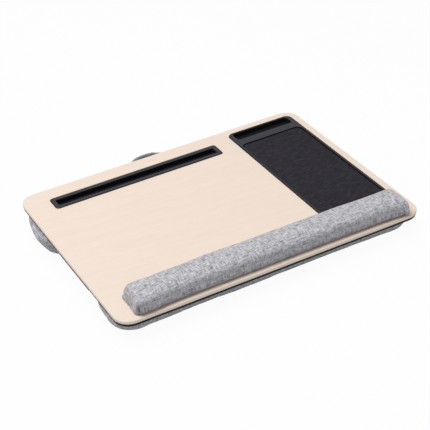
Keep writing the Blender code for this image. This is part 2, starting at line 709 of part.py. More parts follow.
def make_mouse_pad(parent, foam, leather):
    """A foam layer and the grained sheet on it, both lying in the tray's bed."""
    half_x, half_y = BED_WIDTH / 2 - FIT_GAP, BED_LENGTH / 2 - FIT_GAP
    radius = BED_CORNER - FIT_GAP
    place = (TRAY_X, BED_Y, 0)
    bm = bmesh.new()
    plate(bm, half_x, half_y, radius, PAD_BED + SEAT_GAP, PAD_SHEET_BOTTOM - SEAT_GAP)
    add_part("mouse_pad_foam", bm, foam, parent, place)
    bm = bmesh.new()
    plate(bm, half_x, half_y, radius, PAD_SHEET_BOTTOM, PAD_TOP, round_top=PAD_EDGE_ROUND)
    add_part("mouse_pad_sheet", bm, leather, parent, place)


def hemmed_cover(form, hem):
    """Rings of a fabric cover with its hem turned in: down the outside, over the hem and up the inside."""
    lining = form.inside(COVER_FABRIC)
    hem_x, hem_y = form.half_x - hem, form.half_y - hem
    corner = max(form.corner - hem, form.corner * HEM_CORNER_SHARE)
    steps = (FORM_CORNER_STEPS, FORM_LONG_STEPS, FORM_SHORT_STEPS)
    turned_in = outline(hem_x, hem_y, corner, *steps)
    edge = [[Vector((x, y, level)) for x, y in turned_in] for level in (form.seam_z, lining.seam_z)]
    return form.rings()[::-1] + edge + lining.rings()


def cut_flat(bm, place, tilt, floor):
    """Cuts a tilted bolster flat where it stands, and closes the cut."""
    up = Vector((0, math.sin(tilt), math.cos(tilt)))
    height = floor - Vector(place).dot(up)
    geom = bm.verts[:] + bm.edges[:] + bm.faces[:]
    bmesh.ops.bisect_plane(bm, geom=geom, plane_co=up * height, plane_no=-up, clear_outer=True)
    rim = [edge for edge in bm.edges if edge.is_boundary]
    bmesh.ops.contextual_create(bm, geom=rim)


def make_cushion(prefix, form, centre_y, screw_rows, tilt, floor, parent, fabric, fill, card, steel):
    """One bolster: a bag of fabric, its filling, the board inside it that takes the screws, and those."""
    place = (CUSHION_X, centre_y, COVER_TOP)
    bm = bmesh.new()
    loft(bm, form.rings(), FORM_END_POINTS)
    cut_flat(bm, place, tilt, floor)
    cover = add_part(f"{prefix}_cushion_cover", bm, fabric, parent, place, SOFT_SHARP_DEGREES)
    bm = bmesh.new()
    loft(bm, form.inside(COVER_FABRIC).rings(), FORM_END_POINTS)
    boolean(cover, add_cutter(f"{prefix}_cover_hollow", bm, parent, place), "DIFFERENCE")

    bm = bmesh.new()
    inner = form.inside(COVER_FABRIC + SOFT_GAP)
    loft(bm, inner.rings(CUSHION_BOARD + SEAT_GAP), FORM_END_POINTS)
    add_part(f"{prefix}_cushion_fill", bm, fill, parent, place, SOFT_SHARP_DEGREES)

    inset = COVER_FABRIC + SOFT_GAP
    top = -COVER_FABRIC - SEAT_GAP
    bm = bmesh.new()
    plate(bm, form.half_x - inset, form.half_y - inset, form.corner - inset, top - CUSHION_BOARD, top)
    board = add_part(f"{prefix}_cushion_board", bm, card, parent, place)

    places = cushion_screw_places(screw_rows)
    base = COVER_TOP + top
    drill = add_holes(
        f"{prefix}_screw_holes", places, base + CUT_OVERRUN, base - CUSHION_BOARD - CUT_OVERRUN, parent
    )
    boolean(board, drill, "DIFFERENCE")
    boolean(cover, drill, "DIFFERENCE")
    seat = PAN_FLOOR_TOP + SEAT_GAP
    profile = [
        (SHANK_RADIUS, CUSHION_HEAD_HEIGHT),
        (CUSHION_HEAD_RADIUS, CUSHION_HEAD_HEIGHT / 2),
        (CUSHION_HEAD_RADIUS, 0),
        (SHANK_RADIUS, 0),
        (SHANK_RADIUS, base - CUSHION_BOARD + SEAT_GAP - seat),
    ]
    add_screws(f"{prefix}_cushion_screw", profile, places, seat, steel, parent)


def make_centre_fabric(parent, fabric):
    """The flat fabric under the pan, between the two bolsters."""
    front = FRONT_CUSHION_Y + FRONT_CUSHION_DEPTH / 2 + SEAT_GAP
    rear = REAR_CUSHION_Y - REAR_CUSHION_DEPTH / 2 - SEAT_GAP
    bm = bmesh.new()
    low = (CUSHION_X - CUSHION_LENGTH / 2, front, COVER_TOP - COVER_FABRIC)
    box(bm, low, (CUSHION_X + CUSHION_LENGTH / 2, rear, COVER_TOP))
    add_part("centre_fabric", bm, fabric, parent)


def make_wrist_rest(parent, fabric, foam, card, tape):
    """The wrist rest: cover, foam, the plate that it is drawn over, and the tape that holds it down."""
    place = (WRIST_X, WRIST_Y, SEAT_GAP)
    bm = bmesh.new()
    loft(bm, hemmed_cover(WRIST_FORM, WRIST_HEM), FORM_END_POINTS)
    add_part("wrist_rest_cover", bm, fabric, parent, place, SOFT_SHARP_DEGREES)

    bm = bmesh.new()
    inner = WRIST_FORM.inside(COVER_FABRIC + SEAT_GAP)
    loft(bm, inner.rings(WRIST_PLATE + SEAT_GAP), FORM_END_POINTS)
    add_part("wrist_rest_foam", bm, foam, parent, place, SOFT_SHARP_DEGREES)

    inset = COVER_FABRIC + SOFT_GAP
    bottom = COVER_FABRIC + SEAT_GAP
    half_x, half_y = WRIST_LENGTH / 2 - inset, WRIST_DEPTH / 2 - inset
    bm = bmesh.new()
    plate(bm, half_x, half_y, WRIST_CORNER - inset, bottom, bottom + WRIST_PLATE)
    add_part("wrist_rest_plate", bm, card, parent, place)

    inset = WRIST_HEM + WRIST_TAPE_GAP
    bm = bmesh.new()
    half_x, half_y = WRIST_LENGTH / 2 - inset, WRIST_DEPTH / 2 - inset
    box(bm, (-half_x, -half_y, 0), (half_x, half_y, COVER_FABRIC))
    add_part("wrist_rest_tape", bm, tape, parent, place)


def handle_centre_line():
    """Places along the loop's middle line from one root to the other, in the plane of the loop."""
    points = []
    for step in range(LOOP_STEPS + 1):
        angle = math.pi * (1 - step / LOOP_STEPS)
        across = abs(math.cos(angle)) ** (2 / LOOP_POWER) * HANDLE_HALF_SPAN
        out = math.sin(angle) ** (2 / LOOP_POWER) * HANDLE_REACH if 0 < step < LOOP_STEPS else 0
        points.append(Vector((math.copysign(across, math.cos(angle)), out, 0)))
    return points


def handle_root(line, end):
    """Sections that round off one flat end of the loop where it meets its tab, the outermost first."""
    across = Vector((1 if end == 0 else -1, 0, 0))
    sections = []
    for share in TAB_ROUND_SHARES:
        place = Vector((line[end].x, -share * TAB_THICKNESS / 2, 0))
        sections.append((place, across, 0, math.sqrt(1 - share * share)))
    return sections


def handle_sections():
    """Place, sideways direction, roundness and squeeze of each section, from left root to right root."""
    line = handle_centre_line()
    sections = handle_root(line, 0)
    for i, point in enumerate(line):
        along = (line[min(i + 1, LOOP_STEPS)] - line[max(i - 1, 0)]).normalized()
        if i in (0, LOOP_STEPS):
            along = Vector((0, 1 if i == 0 else -1, 0))
        from_root = min((point - line[0]).length, (point - line[-1]).length)
        share = min(from_root / TAPER_LENGTH, 1)
        sections.append((point, Vector((along.y, -along.x, 0)), share * share * (3 - 2 * share), 1))
    return sections + handle_root(line, LOOP_STEPS)[::-1]


def make_handle_loop(parent, fabric):
    """The rolled fabric loop, flat at its roots, which swings where it leaves the pan."""
    hinge = bpy.data.objects.new("handle_hinge", None)
    hinge.parent = parent
    hinge.location = (HANDLE_CENTRE_X, HINGE_Y, HINGE_Z)
    hinge.rotation_euler.x = -math.radians(HANDLE_DROOP_DEGREES)
    bpy.context.collection.objects.link(hinge)
    rings = []
    for point, side, roundness, squeeze in handle_sections():
        wide = TAB_WIDTH / 2 + (LOOP_WIDTH - TAB_WIDTH) / 2 * roundness
        thick = (TAB_THICKNESS / 2 + (LOOP_THICKNESS - TAB_THICKNESS) / 2 * roundness) * squeeze
        ring = []
        for step in range(LOOP_SIDES):
            angle = 2 * math.pi * (step + 0.5) / LOOP_SIDES
            ring.append(point + side * (math.cos(angle) * wide) + Vector((0, 0, math.sin(angle) * thick)))
        rings.append(ring)
    bm = bmesh.new()
    loft(bm, rings)
    add_part("handle_loop", bm, fabric, hinge, smooth_degrees=SOFT_SHARP_DEGREES)


def make_handle_tabs(parent, fabric, steel):
    """The loop's sewn flat ends, which lie on the pan's floor under a screw each."""
    half_tab = TAB_THICKNESS / 2
    for side, x in zip(("left", "right"), handle_root_xs()):
        low = (x - TAB_WIDTH / 2, TAB_OUTER_Y - TAB_LENGTH, HINGE_Z - half_tab)
        bm = bmesh.new()
        box(bm, low, (x + TAB_WIDTH / 2, TAB_OUTER_Y, HINGE_Z + half_tab))
        tab = add_part(f"handle_tab_{side}", bm, fabric, parent)
        top, bottom = HINGE_Z + TAB_THICKNESS, HINGE_Z - TAB_THICKNESS
        drill = add_holes(f"tab_hole_{side}", [(x, HANDLE_SCREW_Y)], top, bottom, parent)
        boolean(tab, drill, "DIFFERENCE")
    seat = HINGE_Z + half_tab + SEAT_GAP
    profile = [
        (HANDLE_HEAD_RADIUS, HANDLE_HEAD_HEIGHT),
        (HANDLE_HEAD_RADIUS, 0),
        (SHANK_RADIUS, 0),
        (SHANK_RADIUS, PAN_BOTTOM + SEAT_GAP - seat),
    ]
    places = [(x, HANDLE_SCREW_Y) for x in handle_root_xs()]
    add_screws("handle_screw", profile, places, seat, steel, parent)


def stand_on_floor(desk):
    """Moves the tilted desk: the middle of its box over the origin, and its bolsters standing at z = 0."""
    bpy.context.view_layer.update()
    graph = bpy.context.evaluated_depsgraph_get()
    corners = []
    for part in bpy.data.objects:
        if part.type == "MESH" and not part.hide_render:
            solid = part.evaluated_get(graph)
            corners += [solid.matrix_world @ vert.co for vert in solid.data.vertices]
    low = [min(corner[axis] for corner in corners) for axis in range(3)]
    high = [max(corner[axis] for corner in corners) for axis in range(3)]
    desk.location = (-(low[0] + high[0]) / 2, -(low[1] + high[1]) / 2, -low[2])


def main():
    """Builds the desk in the board frame, then stands it on its bolsters."""
    for old in list(bpy.data.objects):
        bpy.data.objects.remove(old, do_unlink=True)
    desk = bpy.data.objects.new("desk_frame", None)
    bpy.context.collection.objects.link(desk)
    tilt = resting_tilt()
    desk.rotation_euler.x = tilt
    floor = lowest(REAR_FORM, REAR_CUSHION_Y, tilt) + REST_CUT

    wood = finish("birch_laminate", (0.87, 0.75, 0.62), 0.45)
    black_plastic = finish("black_moulded_plastic", (0.030, 0.030, 0.034), 0.5)
    grey_plastic = finish("charcoal_moulded_plastic", (0.055, 0.057, 0.066), 0.45)
    leather = finish("black_grained_leatherette", (0.030, 0.027, 0.034), 0.55)
    dark_foam = finish("black_foam", (0.02, 0.02, 0.02), 0.9)
    linen = finish("grey_linen", (0.36, 0.36, 0.39), 0.9)
    white_foam = finish("white_foam", (0.75, 0.74, 0.70), 0.9)
    beads = finish("bead_filling", (0.80, 0.80, 0.80), 0.8)
    card = finish("grey_fibreboard", (0.30, 0.26, 0.22), 0.8)
    tape = finish("adhesive_tape", (0.60, 0.58, 0.50), 0.6)
    steel = finish("zinc_plated_steel", (0.60, 0.60, 0.62), 0.35, 1)

    make_top_board(desk, wood)
    make_base_pan(desk, black_plastic)
    make_board_screws(desk, steel)
    make_slot_insert(desk, grey_plastic)
    make_pad_tray(desk, grey_plastic)
    make_mouse_pad(desk, dark_foam, leather)
    make_wrist_rest(desk, linen, white_foam, card, tape)
    stuffs = (linen, beads, card, steel)
    make_cushion("rear", REAR_FORM, REAR_CUSHION_Y, rear_screw_rows(), tilt, floor, desk, *stuffs)
    make_cushion("front", FRONT_FORM, FRONT_CUSHION_Y, front_screw_rows(), tilt, floor, desk, *stuffs)
    make_centre_fabric(desk, linen)
    make_handle_loop(desk, linen)
    make_handle_tabs(desk, linen, steel)
    stand_on_floor(desk)


main()
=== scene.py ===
"""Looks of the lap desk: its finishes, its stuffed fabric parts, and the studio that shows them.

New pieces are shaped in the board frame, whose origin is the middle of the top's upper face and whose Z is
square to it. They are then carried into the row frame, where every object stays unmoved at the origin.
"""

import logging
import math
from dataclasses import dataclass, field
from enum import Enum
from typing import Callable

import bmesh
import bpy
from bmesh.types import BMesh
from bpy.types import Material, Node, NodeSocket, NodeTree, Object
from mathutils import Matrix, Vector, noise


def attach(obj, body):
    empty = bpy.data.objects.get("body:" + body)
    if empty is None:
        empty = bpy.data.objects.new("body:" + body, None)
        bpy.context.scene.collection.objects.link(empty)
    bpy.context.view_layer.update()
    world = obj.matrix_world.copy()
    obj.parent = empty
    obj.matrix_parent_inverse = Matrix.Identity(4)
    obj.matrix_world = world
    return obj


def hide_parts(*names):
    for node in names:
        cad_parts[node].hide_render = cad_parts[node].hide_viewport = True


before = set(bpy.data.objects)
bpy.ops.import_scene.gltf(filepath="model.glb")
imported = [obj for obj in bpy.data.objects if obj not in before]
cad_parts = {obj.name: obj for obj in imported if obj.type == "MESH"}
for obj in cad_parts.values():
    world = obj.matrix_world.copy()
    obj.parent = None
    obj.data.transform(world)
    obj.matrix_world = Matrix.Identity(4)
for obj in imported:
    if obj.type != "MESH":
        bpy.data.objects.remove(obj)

LOG = logging.getLogger("lap_desk")
MM = 0.001
Pair = tuple[float, float]

# The part of a noise's range that its values mostly fill.
FLOW_RANGE = {"From Min": 0.3, "From Max": 0.7}

# Above this, a normal's part along an axis, or a vertex's hold on the seam, counts as whole.
MOSTLY = 0.5

# The share of half a size past which a vertex lies on that side.
ON_SIDE = 0.99999

# How the pads are blown up, and for how long.
INFLATION_FRAMES = 20
STUFFING = {
    "quality": 6,
    "mass": 0.3,
    "tension_stiffness": 25,
    "compression_stiffness": 25,
    "shear_stiffness": 12,
    "bending_stiffness": 0.6,
    "use_pressure": True,
    "uniform_pressure_force": 4,
    "vertex_group_mass": "seam",
}


class Facing(Enum):
    """Which way a pad stands out from the plane that it is fixed to, in the board frame."""

    UP = 1
    DOWN = -1


def linear(hex_colour: str) -> tuple[float, float, float, float]:
    """Turns an sRGB colour into the linear values that a shader takes.

    Args:
        hex_colour: Six hexadecimal digits, red first.

    Returns:
        Red, green, blue and an alpha of 1.
    """
    parts = [int(hex_colour[i:i + 2], 16) / 255 for i in (0, 2, 4)]
    red, green, blue = (p / 12.92 if p <= 0.04045 else ((p + 0.055) / 1.055) ** 2.4 for p in parts)
    return red, green, blue, 1.0


def per_metre(millimetres: float) -> float:
    """Pattern scale at which one repeat of a texture on metre coordinates is that long."""
    return 1 / (millimetres * MM)


def feed(node: Node, inputs: dict) -> None:
    """Gives a node its values and links.

    Args:
        node: The node.
        inputs: Input name or number to a value, to the output socket that feeds it, or to a node whose
            first output in use feeds it.
    """
    for key, value in inputs.items():
        if isinstance(value, Node):
            value = next(output for output in value.outputs if output.enabled)
        if isinstance(value, NodeSocket):
            node.id_data.links.new(value, node.inputs[key])
        else:
            node.inputs[key].default_value = value


def add(tree: NodeTree, kind: str, inputs: dict | None = None, **settings) -> Node:
    """Adds a shader node with its settings, values and links.

    Args:
        tree: The material's or world's node tree.
        kind: The node's type name, without the ShaderNode that each one starts with.
        inputs: What its inputs get, in the form that feed takes.
        settings: The node's own properties.

    Returns:
        The new node.
    """
    made = tree.nodes.new("ShaderNode" + kind)
    for name, value in settings.items():
        setattr(made, name, value)
    feed(made, inputs or {})
    return made


def board_placement() -> Matrix:
    """Finds where the wooden top stands in the row frame.

    Returns:
        The matrix that carries the board frame into the row frame.
    """
    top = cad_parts["top_board"].data
    rise = max((face for face in top.polygons if face.normal.z > 0), key=lambda face: face.area).normal
    across = Vector((1, 0, 0))
    deep = rise.cross(across)
    xs, ys, zs = ([vert.co.dot(axis) for vert in top.vertices] for axis in (across, deep, rise))
    origin = across * (min(xs) + max(xs)) / 2 + deep * (min(ys) + max(ys)) / 2 + rise * max(zs)
    return Matrix.Translation(origin) @ Matrix((across, deep, rise)).transposed().to_4x4()


TO_ROW = board_placement()
TO_BOARD = TO_ROW.inverted()


def board_box(node: str) -> tuple[Vector, Vector]:
    """A CAD node's lowest and highest corners in the board frame."""
    points = [TO_BOARD @ vert.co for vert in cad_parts[node].data.vertices]
    return Vector(map(min, *points)), Vector(map(max, *points))


def board_coordinates(tree: NodeTree) -> Node:
    """Object coordinates turned into the board frame."""
    place = {"Location": TO_ROW.translation, "Rotation": TO_ROW.to_euler()}
    object_space = add(tree, "TexCoord").outputs["Object"]
    return add(tree, "Mapping", {"Vector": object_space, **place}, vector_type="TEXTURE")


def outline_distance(tree: NodeTree, board: Node, low: Vector, high: Vector, corner: float) -> Node:
    """Measures how far a point lies outside a rounded rectangle in the board's plane.

    Args:
        tree: The material's node tree.
        board: Coordinates in the board frame.
        low: Lowest corner of the rectangle.
        high: Highest corner of the rectangle.
        corner: Radius of its corners.

    Returns:
        The node that gives the distance in metres, negative inside.
    """
    half = (high - low) / 2 - Vector((corner, corner, 0))
    moved = add(tree, "VectorMath", {0: board, 1: (low + high) / 2}, operation="SUBTRACT")
    folded = add(tree, "VectorMath", {0: moved}, operation="ABSOLUTE")
    past = add(tree, "VectorMath", {0: folded, 1: (half.x, half.y, 0)}, operation="SUBTRACT")
    flat = add(tree, "VectorMath", {0: past, 1: (1, 1, 0)}, operation="MULTIPLY")
    beyond = add(tree, "VectorMath", {0: flat, 1: (0, 0, 0)}, operation="MAXIMUM")
    away = add(tree, "VectorMath", {0: beyond}, operation="LENGTH")
    past_x, past_y, _ = add(tree, "SeparateXYZ", {"Vector": past}).outputs
    nearer = add(tree, "Math", {0: past_x, 1: past_y}, operation="MAXIMUM")
    inner = add(tree, "Math", {0: nearer, 1: 0.0}, operation="MINIMUM")
    total = add(tree, "Math", {0: away, 1: inner}, operation="ADD")
    return add(tree, "Math", {0: total, 1: corner}, operation="SUBTRACT")


def lay(tree: NodeTree, ground: str, layers: tuple[tuple, ...]) -> tuple[Node, list[Node]]:
    """Lays colours over one another, each through a mask.

    Args:
        tree: The material's node tree.
        ground: The first colour.
        layers: For each further colour, the value that its mask follows, the levels at which the mask sets
            in and is full, how much of the colour it lets through there, its curve, and the colour.

    Returns:
        The node that gives the colour, and the masks.
    """
    tone, masks = linear(ground), []
    for value, start, end, most, curve, colour in layers:
        levels = {"Value": value, "From Min": start, "From Max": end, "To Max": most}
        masks.append(add(tree, "MapRange", levels, interpolation_type=curve))
        tone = add(tree, "Mix", {0: masks[-1], 6: tone, 7: linear(colour)}, data_type="RGBA")
    return tone, masks


def new_material(name: str) -> tuple[Material, NodeTree, Node]:
    """An empty node material with its Principled shader."""
    material = bpy.data.materials.new(name)
    material.use_nodes = True
    return material, material.node_tree, material.node_tree.nodes["Principled BSDF"]


@dataclass(frozen=True)
class BirchLaminate:
    """Birch-print paper laminate pressed on fibreboard, with painted light on its edge face and a painted
    shade line where the face rolls over.
    """

    name: str = "birch_laminate_pressed"
    early_wood: str = "EEDDCF"
    late_wood: str = "EBDACB"
    streak: str = "E0CDBC"
    # Painted light on the edge face, so that it reads as bright as the top.
    painted_edge_light: str = "F6E9DD"
    # Tone of the pores, and painted shade on the line where the face rolls over.
    pore_tone_and_edge_shade: str = "EBDACB"
    figure_mm: Pair = (150.0, 13.0)
    fibre_mm: Pair = (26.0, 1.8)
    pore_mm: Pair = (9.0, 1.0)
    grain_turn: float = math.radians(4)
    round_mm: Pair = (-0.25, -1.9)
    depth_mm: float = 0.06
    specular: float = 0.35

    def build(self) -> Material:
        """Makes the material.

        Returns:
            Long pale figure, fine fibres along it, short pores, a painted shade line where the face rolls
            over, and painted light on the edge face below it.
        """
        material, tree, shader = new_material(self.name)
        board = board_coordinates(tree)
        turned = add(tree, "Mapping", {"Vector": board, "Rotation": (0, 0, self.grain_turn)})

        def streaks(size: Pair, detail: float, warp: float) -> Node:
            """Noise drawn out along the grain."""
            along, across = map(per_metre, size)
            drawn = add(tree, "Mapping", {"Vector": turned, "Scale": (along, across, across)})
            waves = {"Scale": 1.0, "Detail": detail, "Distortion": warp}
            return add(tree, "TexNoise", {"Vector": drawn, **waves})

        height = add(tree, "SeparateXYZ", {"Vector": board}).outputs["Z"]
        # Mask over the edge, from where the face rolls over down to the edge face, for painted shade and
        # painted light.
        face_edge, round_end = (level * MM for level in self.round_mm)
        rolled = add(tree, "MapRange", {"Value": height, "From Min": face_edge, "From Max": round_end})
        layers = (
            (streaks(self.figure_mm, 4.0, 0.7), 0.34, 0.68, 1.0, "SMOOTHSTEP", self.late_wood),
            (streaks(self.fibre_mm, 3.0, 0.2), 0.48, 0.80, 0.42, "LINEAR", self.streak),
            (streaks(self.pore_mm, 1.0, 0.0), 0.66, 0.80, 0.35, "LINEAR", self.pore_tone_and_edge_shade),
            # Painted shade line where the face rolls over.
            (rolled, 0.0, 0.5, 1.0, "SMOOTHSTEP", self.pore_tone_and_edge_shade),
            # Painted light on the edge face.
            (rolled, 0.6, 1.0, 1.0, "LINEAR", self.painted_edge_light),
        )
        tone, (figure, fibre, *_) = lay(tree, self.early_wood, layers)
        bump = add(tree, "Bump", {"Height": fibre, "Strength": 0.25, "Distance": self.depth_mm * MM})
        gloss = add(tree, "MapRange", {"Value": figure, "To Min": 0.42, "To Max": 0.50})
        feed(shader, {"Base Color": tone, "Roughness": gloss, "Normal": bump})
        feed(shader, {"Specular IOR Level": self.specular})
        return material


@dataclass(frozen=True)
class ErodedGrain:
    """What a spark-eroded mould leaves on plastic: fine pits, and a drift along the way that it flowed."""

    grain_mm: float = 0.7
    flow_mm: float = 38.0
    depth_mm: float = 0.035

    def build(self, tree: NodeTree, board: Node) -> tuple[Node, Node]:
        """Adds both.

        Returns:
            The drift as a noise, and the pits as a bump.
        """
        flow = add(tree, "TexNoise", {"Vector": board, "Scale": per_metre(self.flow_mm), "Detail": 3.0})
        pits = add(tree, "TexNoise", {"Vector": board, "Scale": per_metre(self.grain_mm), "Detail": 2.0})
        return flow, add(tree, "Bump", {"Height": pits, "Strength": 0.6, "Distance": self.depth_mm * MM})


@dataclass(frozen=True)
class MouldedPlastic:
    """Injection-moulded polypropylene with a spark-eroded grain."""

    name: str
    colour: str
    roughness: float
    specular: float
    grain: ErodedGrain = ErodedGrain()
    gloss_drift: float = 0.05

    def build(self) -> Material:
        """Makes the material.

        Returns:
            Even colour with a fine pitted grain, and a gloss that drifts a little along the mould's flow.
        """
        material, tree, shader = new_material(self.name)
        flow, bump = self.grain.build(tree, board_coordinates(tree))
        glossy, dull = self.roughness - self.gloss_drift, self.roughness + self.gloss_drift
        gloss = add(tree, "MapRange", {"Value": flow, **FLOW_RANGE, "To Min": glossy, "To Max": dull})
        dust = add(tree, "MapRange", {"Value": flow, **FLOW_RANGE, "To Min": 0.92, "To Max": 1.1})
        tone = add(tree, "HueSaturation", {"Color": linear(self.colour), "Value": dust})
        feed(shader, {"Base Color": tone, "Roughness": gloss, "Normal": bump})
        feed(shader, {"Specular IOR Level": self.specular})
        return material


@dataclass(frozen=True)
class SatinInsert:
    """Injection-moulded polypropylene, satin on the flange, with painted shade on its rolled edge, at the
    mouth and behind it, and black painted shade in the trough.

    Attributes:
        low: Lowest corner of the insert's box in the board frame.
        high: Highest corner of that box.
        corner: Radius of the flange's outline.
        rim_mm: Levels between which painted shade sets in on the flange's rolled edge, counted outwards from
            its outline.
        lip_mm: Levels between which painted shade sets in on the mouth's rolled edge, counted up from the
            flange's top.
        trough_mm: Levels between which the trough turns to a black painted shade, counted the same way.
        rear_mm: Levels between which painted shade sets in on the strip behind the mouth, counted inwards
            from the rear edge.
    """

    name: str
    low: Vector
    high: Vector
    corner: float
    rim_mm: Pair
    lip_mm: Pair
    trough_mm: Pair
    rear_mm: Pair
    satin: str = "34333B"
    # Painted shade on the flange's rolled edge and on the strip behind the mouth.
    shaded: str = "1B1A1E"
    # Painted shade on the mouth's rolled edge.
    lip_shade: str = "2E2D34"
    # Black painted shade for the trough.
    trough: str = "17161A"
    # How much painted shade the strip behind the mouth takes.
    rear_shade_share: float = 0.75
    grain: ErodedGrain = ErodedGrain()

    def build(self) -> Material:
        """Makes the material.

        Returns:
            Grey satin on the flange, with painted shade on its rolled edge, at the mouth's edge and behind
            the mouth, and a matt black painted shade below the mouth's edge.
        """
        material, tree, shader = new_material(self.name)
        board = board_coordinates(tree)
        flow, bump = self.grain.build(tree, board)
        outside = outline_distance(tree, board, self.low, self.high, self.corner)
        _, depth, height = add(tree, "SeparateXYZ", {"Vector": board}).outputs
        places = (
            (outside, 0.0, self.rim_mm),
            (height, self.high.z, self.lip_mm),
            (height, self.high.z, self.trough_mm),
            (depth, self.high.y, self.rear_mm),
        )
        masks = []
        for value, base, (start, end) in places:
            levels = {"Value": value, "From Min": base + start * MM, "From Max": base + end * MM}
            masks.append(add(tree, "MapRange", levels, interpolation_type="SMOOTHSTEP"))
        rim_shade, mouth, trough, rear = masks
        inner = add(tree, "Math", {0: 1.0, 1: rim_shade}, operation="SUBTRACT")
        # Painted shade on the mouth's rolled edge, kept off the flange's outer edge.
        lip_shade = add(tree, "Math", {0: mouth, 1: inner}, operation="MULTIPLY")
        # Painted shade on the strip behind the mouth.
        back = add(tree, "Math", {0: rear, 1: self.rear_shade_share}, operation="MULTIPLY")
        tone = linear(self.satin)
        # Painted shade laid on in turn: the mouth's edge, the strip behind the mouth, the flange's rolled
        # edge, and black in the trough.
        for mask, colour in ((lip_shade, self.lip_shade), (back, self.shaded), (rim_shade, self.shaded), (trough, self.trough)):
            tone = add(tree, "Mix", {0: mask, 6: tone, 7: linear(colour)}, data_type="RGBA")
        drift = add(tree, "MapRange", {"Value": flow, **FLOW_RANGE, "To Min": 0.93, "To Max": 1.08})
        drifted = add(tree, "HueSaturation", {"Color": tone, "Value": drift})
        # The trough is also made rough and loses most of its specular, so that it stays dark.
        gloss = add(tree, "MapRange", {"Value": trough, "To Min": 0.42, "To Max": 0.85})
        shine = add(tree, "MapRange", {"Value": trough, "To Min": 0.38, "To Max": 0.1})
        feed(shader, {"Base Color": drifted, "Roughness": gloss, "Specular IOR Level": shine, "Normal": bump})
        return material


@dataclass(frozen=True)
class EmbossedLeatherette:
    """Polyurethane leatherette, embossed with a fine creased grain."""

    name: str = "leatherette_embossed"
    colour: str = "19161E"
    worn: str = "2F2C37"
    cell_mm: float = 2.4
    crease_mm: Pair = (14.0, 3.6)
    crease_turn: float = math.radians(-8)
    depth_mm: float = 0.32
    specular: float = 0.25

    def build(self) -> Material:
        """Makes the material.

        Returns:
            Small raised cells between creases, which run aslant and catch a little light. The cells are drawn
            about twice as coarse as real ones, so that they show.
        """
        material, tree, shader = new_material(self.name)
        board = board_coordinates(tree)
        turned = add(tree, "Mapping", {"Vector": board, "Rotation": (0, 0, self.crease_turn)})
        along, across = map(per_metre, self.crease_mm)
        drawn = add(tree, "Mapping", {"Vector": turned, "Scale": (along, across, across)})
        crease = add(tree, "TexNoise", {"Vector": drawn, "Scale": 1.0, "Detail": 3.0, "Distortion": 0.8})
        size = {"Scale": per_metre(self.cell_mm), "Randomness": 1.0}
        cells = add(tree, "TexVoronoi", {"Vector": board, **size}, feature="DISTANCE_TO_EDGE")
        raised = add(tree, "MapRange", {"Value": cells, "From Max": 0.25}, interpolation_type="SMOOTHSTEP")
        relief = add(tree, "Math", {0: raised, 1: crease}, operation="MULTIPLY")
        tone, _ = lay(tree, self.colour, ((crease, 0.42, 0.72, 1.0, "LINEAR", self.worn),))
        gloss = add(tree, "MapRange", {"Value": raised, "To Min": 0.68, "To Max": 0.52})
        bump = add(tree, "Bump", {"Height": relief, "Strength": 0.8, "Distance": self.depth_mm * MM})
        feed(shader, {"Base Color": tone, "Roughness": gloss, "Normal": bump})
        feed(shader, {"Specular IOR Level": self.specular})
        return material


